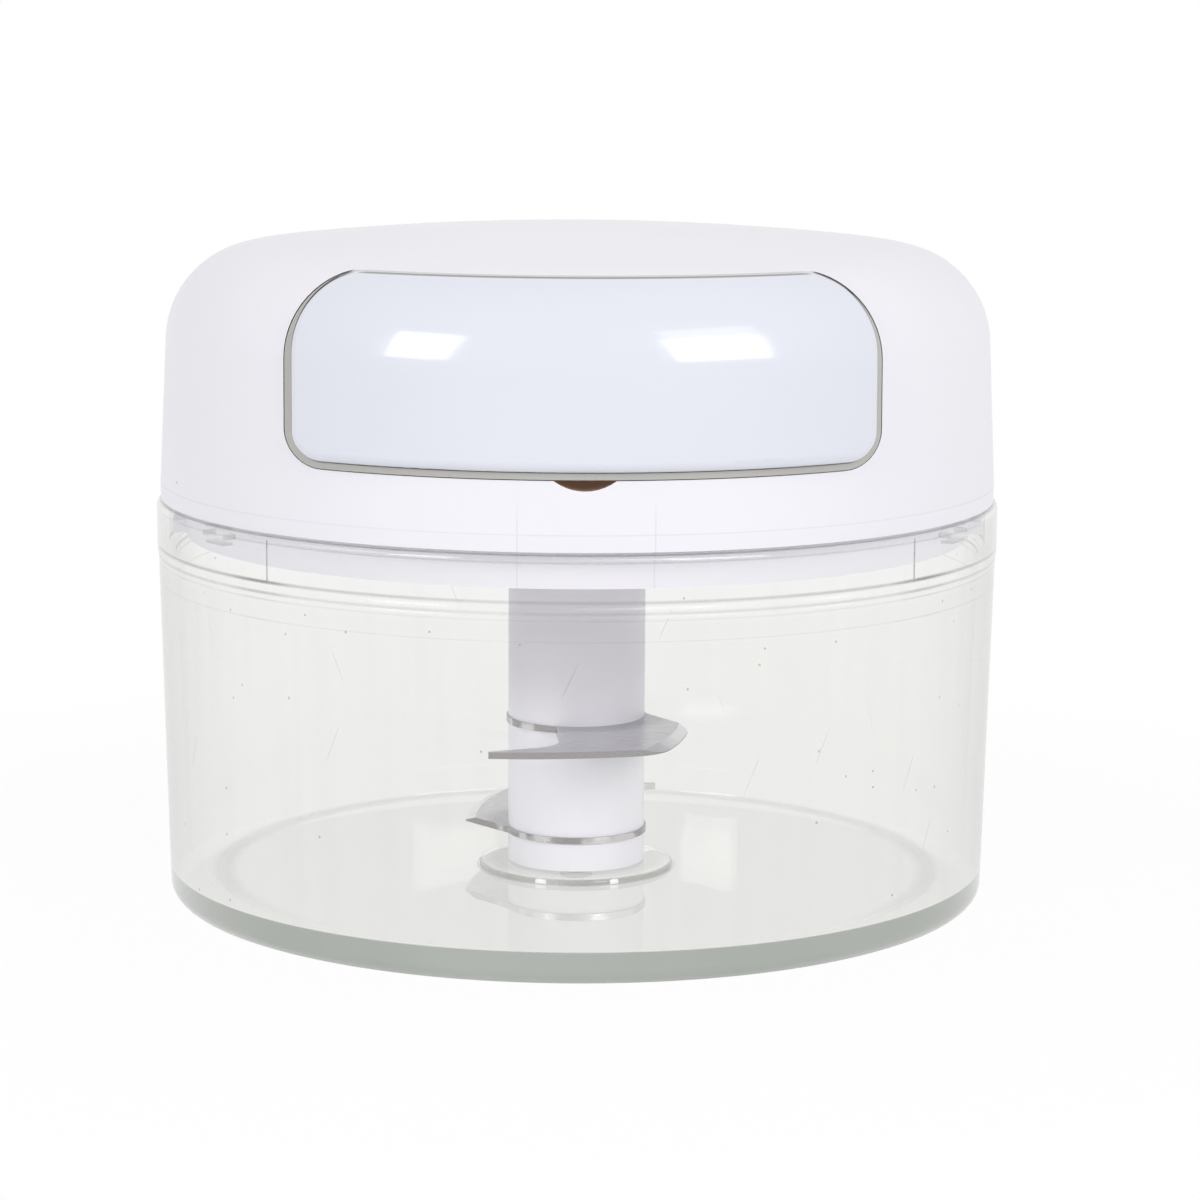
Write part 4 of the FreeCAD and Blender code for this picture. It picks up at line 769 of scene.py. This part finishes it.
# Painted glints: the cut edge is painted bright in spots round the eye, and all along behind the
# post.
EYE_R = 12.0 * MM
CUT_GLINT_CLOUDS = 230.0
CUT_GLINT_SPOTS = (0.42, 0.6)
CUT_GLINT_AT_EYE = (EYE_R + 1.2 * MM, EYE_R)
CUT_GLINT_BEHIND = (4.0 * MM, 8.0 * MM)
# Painted shade and a painted reflection of the post: the flat darkens towards the eye.
SHADE_AT_EYE = (EYE_R + 5.0 * MM, EYE_R)
SHADE_AT_EYE_SHARE = 0.7
BLADE_ROUGHNESS = 0.08
FLAT_ROUGHER = 0.08
SMEAR_ROUGHER = 0.1
GRAIN_ROUGHER = 0.16
BLADE_RELIEF = (0.25, 0.01 * MM)

blade_steel = Finish("blade_steel")
facing_up = abs(blade_steel.xyz(blade_steel.node("NewGeometry", output="True Normal"))[2])
on_flat = facing_up.ramp(*FLAT_LOOKS_UP)
grain = blade_steel.grain(GRINDING_MARKS, detail=5.0)
smear = blade_steel.noise(SMEARS, detail=4.0)
x, y = blade_steel.xyz()[:2]
blade_radius = (x * x + y * y).root()
cut_glints = blade_steel.noise(CUT_GLINT_CLOUDS, detail=3.0).ramp(*CUT_GLINT_SPOTS)
cut_glints = (cut_glints * blade_radius.ramp(*CUT_GLINT_AT_EYE)).most(y.ramp(*CUT_GLINT_BEHIND))
cut_tone = blade_steel.mix(cut_glints, BLADE_CUT_DARK, BLADE_CUT_GLINT)
steel_tone = blade_steel.mix(on_flat, BLADE_BEVEL, BLADE_FACE)
steel_tone = blade_steel.mix(smear * SMEAR_SHARE, steel_tone, BLADE_BEVEL)
shade_at_eye = blade_radius.ramp(*SHADE_AT_EYE) * SHADE_AT_EYE_SHARE
steel_tone = blade_steel.mix(shade_at_eye, steel_tone, BLADE_SHADE_AT_POST)
roughness = grain * GRAIN_ROUGHER + smear * SMEAR_ROUGHER + on_flat * FLAT_ROUGHER
on_cut = facing_up.ramp(*CUT_LOOKS_UP)
blade_steel.set(Base_Color=blade_steel.mix(on_cut, steel_tone, cut_tone), Metallic=1.0,
                Roughness=roughness + BLADE_ROUGHNESS,
                Normal=blade_steel.bump(grain, *BLADE_RELIEF))
dress(blade_steel, "blade_lower", "blade_upper")


# ---------------------------------------------------------------- lid base and shell
# White satin mouldings that four screws hold together. The base closes the seam, centres itself in
# the collar with a skirt and carries the clutch's sleeve. The shell has the handle's pocket, with
# a finger notch painted brown and given a faint painted glow in its deep shade, and faint lines
# where its mould parts.
LID_WHITE = paint(235, 234, 239)
LID_SHADE = paint(229, 227, 234)
LID_LINE = paint(196, 194, 201)
LID_SPECK = paint(120, 112, 104)
LID_CLOUDS = 14.0
LID_SKIN = 2600.0
LINE_HALF = 0.16 * MM
SEAM_Z = 64.7 * MM
SEAM_SHARE = 0.6
MOULD_LINES_X = (-9.44 * MM, 9.85 * MM)
MOULD_LINES_TOP = 71.0 * MM
MOULD_LINE_SHARE = 0.45
# The notch is painted brown, and its faint glow is painted light.
NOTCH_BROWN = paint(172, 138, 116)
NOTCH_PAINTED_GLOW = (0.055, 0.034, 0.023, 1.0)
NO_GLOW = (0.0, 0.0, 0.0, 1.0)
NOTCH_Z = 78.25 * MM
NOTCH_R = 7.52 * MM
NOTCH_TOP_Z = 72.5 * MM
NOTCH_FRONT_R = 64.0 * MM
DUST_CELLS = 150.0
DUST_DOT = (0.045, 0.02)
DUST_FROM = 0.9
DUST_SHARE = 0.7
LID_ROUGHNESS = 0.26
LID_UNEVEN = 0.1
LID_RELIEF = (0.1, 0.015 * MM)

white_plastic = Finish("white_plastic")
x, y, z = white_plastic.xyz()
lid_cloud = white_plastic.noise(LID_CLOUDS, detail=3.0)
lid_skin = white_plastic.noise(LID_SKIN, detail=3.0)
seam = z.near(SEAM_Z, LINE_HALF) * (lid_cloud * SEAM_SHARE)
mould_line = 0.0
for line_x in MOULD_LINES_X:
    mould_line = x.near(line_x, LINE_HALF).most(mould_line)
mould_line = mould_line * (y < 0.0) * z.ramp(MOULD_LINES_TOP, SEAM_Z) * MOULD_LINE_SHARE
from_notch = (x * x + (z - NOTCH_Z) * (z - NOTCH_Z)).root()
lid_radius = (x * x + y * y).root()
in_notch = (from_notch < NOTCH_R) * (z < NOTCH_TOP_Z) * (lid_radius < NOTCH_FRONT_R) * (y < 0.0)
dust = white_plastic.node("TexVoronoi", None,
                          {"Vector": white_plastic.place(), "Scale": DUST_CELLS})
dust_number = white_plastic.xyz(dust.also("Color"))[0]
specks = dust.ramp(*DUST_DOT) * (dust_number > DUST_FROM) * DUST_SHARE
lid_tone = white_plastic.mix(lid_cloud, LID_WHITE, LID_SHADE)
lid_tone = white_plastic.mix(seam.most(mould_line), lid_tone, LID_LINE)
lid_tone = white_plastic.mix(specks, lid_tone, LID_SPECK)
white_plastic.set(Base_Color=white_plastic.mix(in_notch, lid_tone, NOTCH_BROWN),
                  Emission_Color=white_plastic.mix(in_notch, NO_GLOW, NOTCH_PAINTED_GLOW),
                  Emission_Strength=1.0,
                  Roughness=lid_skin * LID_UNEVEN + lid_cloud * LID_UNEVEN + LID_ROUGHNESS,
                  Normal=white_plastic.bump(lid_skin, *LID_RELIEF))
dress(white_plastic, "lid_base", "lid_shell")


# ---------------------------------------------------------------- bearings and clutch
# A sintered bronze bush in the sleeve, and in it the clutch carrier with its hexagon shaft down
# into the post. Two steel pawls on pins, held out by leaf springs, take the reel's teeth.
BRONZE = paint(186, 148, 96)
BRONZE_DARK = paint(140, 104, 62)
BRONZE_METALLIC = 0.9
BRONZE_PORES = 3200.0
BRONZE_CLOUDS = 120.0
PORE_SHARE = 0.5
BRONZE_CLOUD_SHARE = 0.4
BRONZE_ROUGHNESS = (0.35, 0.65)
BRONZE_RELIEF = (0.5, 0.03 * MM)
SPRING_BLUE = paint(112, 116, 132)
SPRING_STRAW = paint(150, 142, 130)
SPRING_ROLLING = (140.0, 140.0, 5200.0)
SPRING_TEMPER = 60.0
SPRING_ROUGHNESS = (0.22, 0.42)
SPRING_RELIEF = (0.25, 0.006 * MM)

bronze = Finish("bronze")
pores = bronze.noise(BRONZE_PORES, detail=4.0)
bronze_cloud = bronze.noise(BRONZE_CLOUDS, detail=3.0)
bronze_dark = pores * PORE_SHARE + bronze_cloud * BRONZE_CLOUD_SHARE
bronze.set(Base_Color=bronze.mix(bronze_dark, BRONZE, BRONZE_DARK), Metallic=BRONZE_METALLIC,
           Roughness=pores.between(*BRONZE_ROUGHNESS), Normal=bronze.bump(pores, *BRONZE_RELIEF))
dress(bronze, "drive_bush", "reel_bush")

spring_steel = Finish("spring_steel")
rolling = spring_steel.grain(SPRING_ROLLING, detail=3.0)
tempering = spring_steel.noise(SPRING_TEMPER, detail=2.0)
spring_steel.set(Base_Color=spring_steel.mix(tempering, SPRING_BLUE, SPRING_STRAW), Metallic=1.0,
                 Roughness=rolling.between(*SPRING_ROUGHNESS),
                 Normal=spring_steel.bump(rolling, *SPRING_RELIEF))
dress(spring_steel, "shaft_clip", "pawl_spring_a", "pawl_spring_b", "axle_clip", "return_spring")
dress(works_plastic, "thrust_washer", "clutch_carrier")
dress(pin_steel, "drive_shaft", "pawl_pins", "pawl_a", "pawl_b")


# ---------------------------------------------------------------- reel
# The drum with its ratchet, its upper flange and bush, on a fixed steel axle. The return spring is
# coiled above it in a case that three nickel-plated screws hold under the crown.
NICKEL = paint(198, 196, 190)
NICKEL_DARK = paint(150, 147, 141)
NICKEL_CLOUDS = 900.0
NICKEL_ROUGHNESS = (0.18, 0.43)
NICKEL_RELIEF = (0.2, 0.01 * MM)

screw_steel = Finish("screw_steel")
plating = screw_steel.noise(NICKEL_CLOUDS, detail=3.0)
screw_steel.set(Base_Color=screw_steel.mix(plating, NICKEL, NICKEL_DARK), Metallic=1.0,
                Roughness=plating.between(*NICKEL_ROUGHNESS),
                Normal=screw_steel.bump(plating, *NICKEL_RELIEF))
dress(works_plastic, "cord_reel", "reel_flange", "spring_case", "spring_cover")
dress(pin_steel, "reel_axle", "cord_eyelet")
dress(screw_steel, "case_screws", "lid_screws")


# ---------------------------------------------------------------- wound cord
# Four turns of braided polyester cord lie side by side on the drum. The pull has pressed them a
# little flat against each other.
CORD_WHITE = paint(226, 224, 216)
# The groove colour is painted shade between the strands.
CORD_GROOVE_SHADE = paint(176, 172, 160)
CORD_D = 1.8 * MM
CORD_TURNS = 4
CORD_SIDES = 10
CORD_SMOOTH_UNDER = 60.0
TURN_STEPS = 60
BRAID_STRANDS = 4
BRAID_PITCH = 2.2 * MM
BRAID_RELIEF = (0.8, 0.12 * MM)
CORD_FUZZ = 5000.0
WEAVE_SHARE = 0.8
FUZZ_SHARE = 0.2
CORD_ROUGHNESS = (0.6, 0.75)

wound_low, wound_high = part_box("cord_winding")
wound_r = wound_high.x - CORD_D / 2
turn_rise = (wound_high.z - wound_low.z) / (CORD_TURNS + 1)


def tube(body, rings):
    """Skins a closed tube over rings of points."""
    made = [[body.verts.new(point) for point in ring] for ring in rings]
    sides = len(rings[0])
    for ring, following in zip(made, made[1:]):
        for k in range(sides):
            beside = (k + 1) % sides
            body.faces.new((ring[k], ring[beside], following[beside], following[k]))
    body.faces.new(made[0])
    body.faces.new(made[-1])


wound_rings = []
for step in range(CORD_TURNS * TURN_STEPS + 1):
    turned = 2 * math.pi * step / TURN_STEPS
    ring = []
    for k in range(CORD_SIDES):
        side = 2 * math.pi * k / CORD_SIDES
        r = wound_r + CORD_D / 2 * math.cos(side)
        rise = turn_rise * (0.5 + step / TURN_STEPS + 0.5 * math.sin(side))
        ring.append((r * math.cos(turned), r * math.sin(turned), wound_low.z + rise))
    wound_rings.append(ring)
wound_mesh = bmesh.new()
tube(wound_mesh, wound_rings)
wound_cord = finished_piece("wound_cord", wound_mesh, CORD_SMOOTH_UNDER)


def braided(name, along, around):
    """Braided polyester: two sets of strands cross, and the grooves between them are painted darker
    as shade.
    """
    made = Finish(name)
    first, second = along(made), around(made)
    one_way, other_way = ((second * BRAID_STRANDS + first * lean).sine() for lean in (1, -1))
    weave = one_way * other_way * 0.5 + 0.5
    fuzz = made.noise(CORD_FUZZ, detail=2.0)
    tone = made.mix(weave * WEAVE_SHARE + fuzz * FUZZ_SHARE, CORD_GROOVE_SHADE, CORD_WHITE)
    made.set(Base_Color=tone, Roughness=fuzz.between(*CORD_ROUGHNESS),
             Normal=made.bump(weave, *BRAID_RELIEF))
    return made


def turned_length(made):
    """Length along the turns, as an angle that turns once in a pitch of the braid."""
    x, y = made.xyz()[:2]
    return y.atan2(x) * round(wound_r * 2 * math.pi / BRAID_PITCH)


def turned_side(made):
    """Angle round the wound cord itself."""
    x, y, z = made.xyz()
    out = (x * x + y * y).root() - wound_r
    up = z - (wound_low.z + turn_rise / 2) - y.atan2(x) / (2 * math.pi) * turn_rise
    up = up.math("PINGPONG", up + turn_rise / 2, turn_rise) - turn_rise / 2
    return up.atan2(out)


wound_cord.data.materials.append(braided("wound_cord", turned_length, turned_side).owner)
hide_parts("cord_winding")
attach(wound_cord, "reel")


# ---------------------------------------------------------------- pull cord
# The taut length of cord from the drum, round the smooth ferrule in the pocket's wall, to the
# toggle in the back of the handle.
CORD_LEVEL = 82.0 * MM
LEAVE_R = 27.0 * MM
CORNER_Y = -46.3 * MM
RUN_TO_BEND = 10.9 * MM
CORD_END_Y = -58.4 * MM
ROUTE_STEPS = 24
PULL_SIDES = 20

drum_z = (wound_low.z + wound_high.z) / 2
leave = -math.pi / 2 - math.acos(LEAVE_R / -CORNER_Y)
cord_start = Vector((LEAVE_R * math.cos(leave), LEAVE_R * math.sin(leave), drum_z))
cord_corner = Vector((0, CORNER_Y, CORD_LEVEL))
before_corner = cord_corner + (cord_start - cord_corner).normalized() * RUN_TO_BEND
after_corner = cord_corner - Vector((0, RUN_TO_BEND, 0))
cord_end = Vector((0, CORD_END_Y, CORD_LEVEL))
route_points = (cord_start, before_corner, cord_corner, after_corner, cord_end)
route = bpy.data.curves.new("cord_route", "CURVE")
route.dimensions = "3D"
route.resolution_u = ROUTE_STEPS
spline = route.splines.new("NURBS")
spline.points.add(len(route_points) - 1)
for point, at in zip(spline.points, route_points):
    point.co = (*at, 1.0)
spline.order_u = 3
spline.use_endpoint_u = True
route_holder = bpy.data.objects.new("cord_route", route)
scene.collection.objects.link(route_holder)
route_mesh = bpy.data.meshes.new_from_object(route_holder)
line = [vert.co.copy() for vert in route_mesh.vertices]
bpy.data.objects.remove(route_holder)

round_cord = [2 * math.pi * k / PULL_SIDES for k in range(PULL_SIDES)]
pull_rings = []
for k, at in enumerate(line):
    heading = (line[min(k + 1, len(line) - 1)] - line[max(k - 1, 0)]).normalized()
    side = heading.cross(Vector((0, 0, 1))).normalized()
    above = side.cross(heading)
    pull_rings.append([at + (side * math.cos(angle) + above * math.sin(angle)) * (CORD_D / 2)
                       for angle in round_cord])
pull_mesh = bmesh.new()
tube(pull_mesh, pull_rings)
pull_cord = finished_piece("pull_cord", pull_mesh, CORD_SMOOTH_UNDER)


def pulled_length(made):
    """Length along the straight run, as an angle that turns once in a pitch of the braid."""
    return made.xyz()[1] * (2 * math.pi / BRAID_PITCH)


def pulled_side(made):
    """Angle round the straight run."""
    x, _, z = made.xyz()
    return (z - CORD_LEVEL).atan2(x)


pull_cord.data.materials.append(braided("pull_cord", pulled_length, pulled_side).owner)
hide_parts("cord_run")
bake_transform(pull_cord)
dress(works_plastic, "cord_toggle")


# ---------------------------------------------------------------- handle
# A warm grey satin tray that the fingers reach behind, with a high gloss white cover snapped on
# its front. Two screws from the back hold the two together.
COVER_WHITE = paint(220, 223, 231)
COVER_SHADE = paint(213, 216, 225)
# A dark grey line painted along the cover's top edge: the grey tray's rim, with painted shade of
# the seam.
COVER_EDGE = paint(128, 126, 122)
COVER_TOP = (99.75 * MM, 99.9 * MM)
COVER_CLOUDS = 16.0
COVER_RIPPLES = 38.0
COVER_SKIN = 220.0
COVER_ROUGHNESS = (0.11, 0.16)
COVER_COAT = 0.3
COVER_RELIEF = (0.5, 0.05 * MM)
TRAY_GREY = paint(171, 169, 164)
TRAY_WORN = paint(190, 189, 185)
TRAY_CLOUDS = 50.0
TRAY_WORN_SHARE = 0.6
TRAY_SKIN = 2400.0
TRAY_ROUGHNESS = (0.38, 0.53)
TRAY_RELIEF = (0.2, 0.02 * MM)

cover_plastic = Finish("cover_plastic")
cover_cloud = cover_plastic.noise(COVER_CLOUDS, detail=2.0)
cover_ripple = cover_plastic.noise(COVER_RIPPLES, detail=2.0)
cover_skin = cover_plastic.noise(COVER_SKIN, detail=4.0)
cover_top = cover_plastic.xyz()[2].ramp(*COVER_TOP)
cover_tone = cover_plastic.mix(cover_cloud, COVER_WHITE, COVER_SHADE)
cover_plastic.set(Base_Color=cover_plastic.mix(cover_top, cover_tone, COVER_EDGE),
                  Roughness=cover_skin.between(*COVER_ROUGHNESS), Coat_Weight=COVER_COAT,
                  Normal=cover_plastic.bump(cover_ripple, *COVER_RELIEF))
dress(cover_plastic, "handle_cover")

grey_plastic = Finish("grey_plastic")
tray_cloud = grey_plastic.noise(TRAY_CLOUDS, detail=3.0)
tray_skin = grey_plastic.noise(TRAY_SKIN, detail=3.0)
tray_tone = grey_plastic.mix(tray_cloud * TRAY_WORN_SHARE, TRAY_GREY, TRAY_WORN)
grey_plastic.set(Base_Color=tray_tone, Roughness=tray_skin.between(*TRAY_ROUGHNESS),
                 Normal=grey_plastic.bump(tray_skin, *TRAY_RELIEF))
dress(grey_plastic, "handle_back")
dress(screw_steel, "handle_screws")
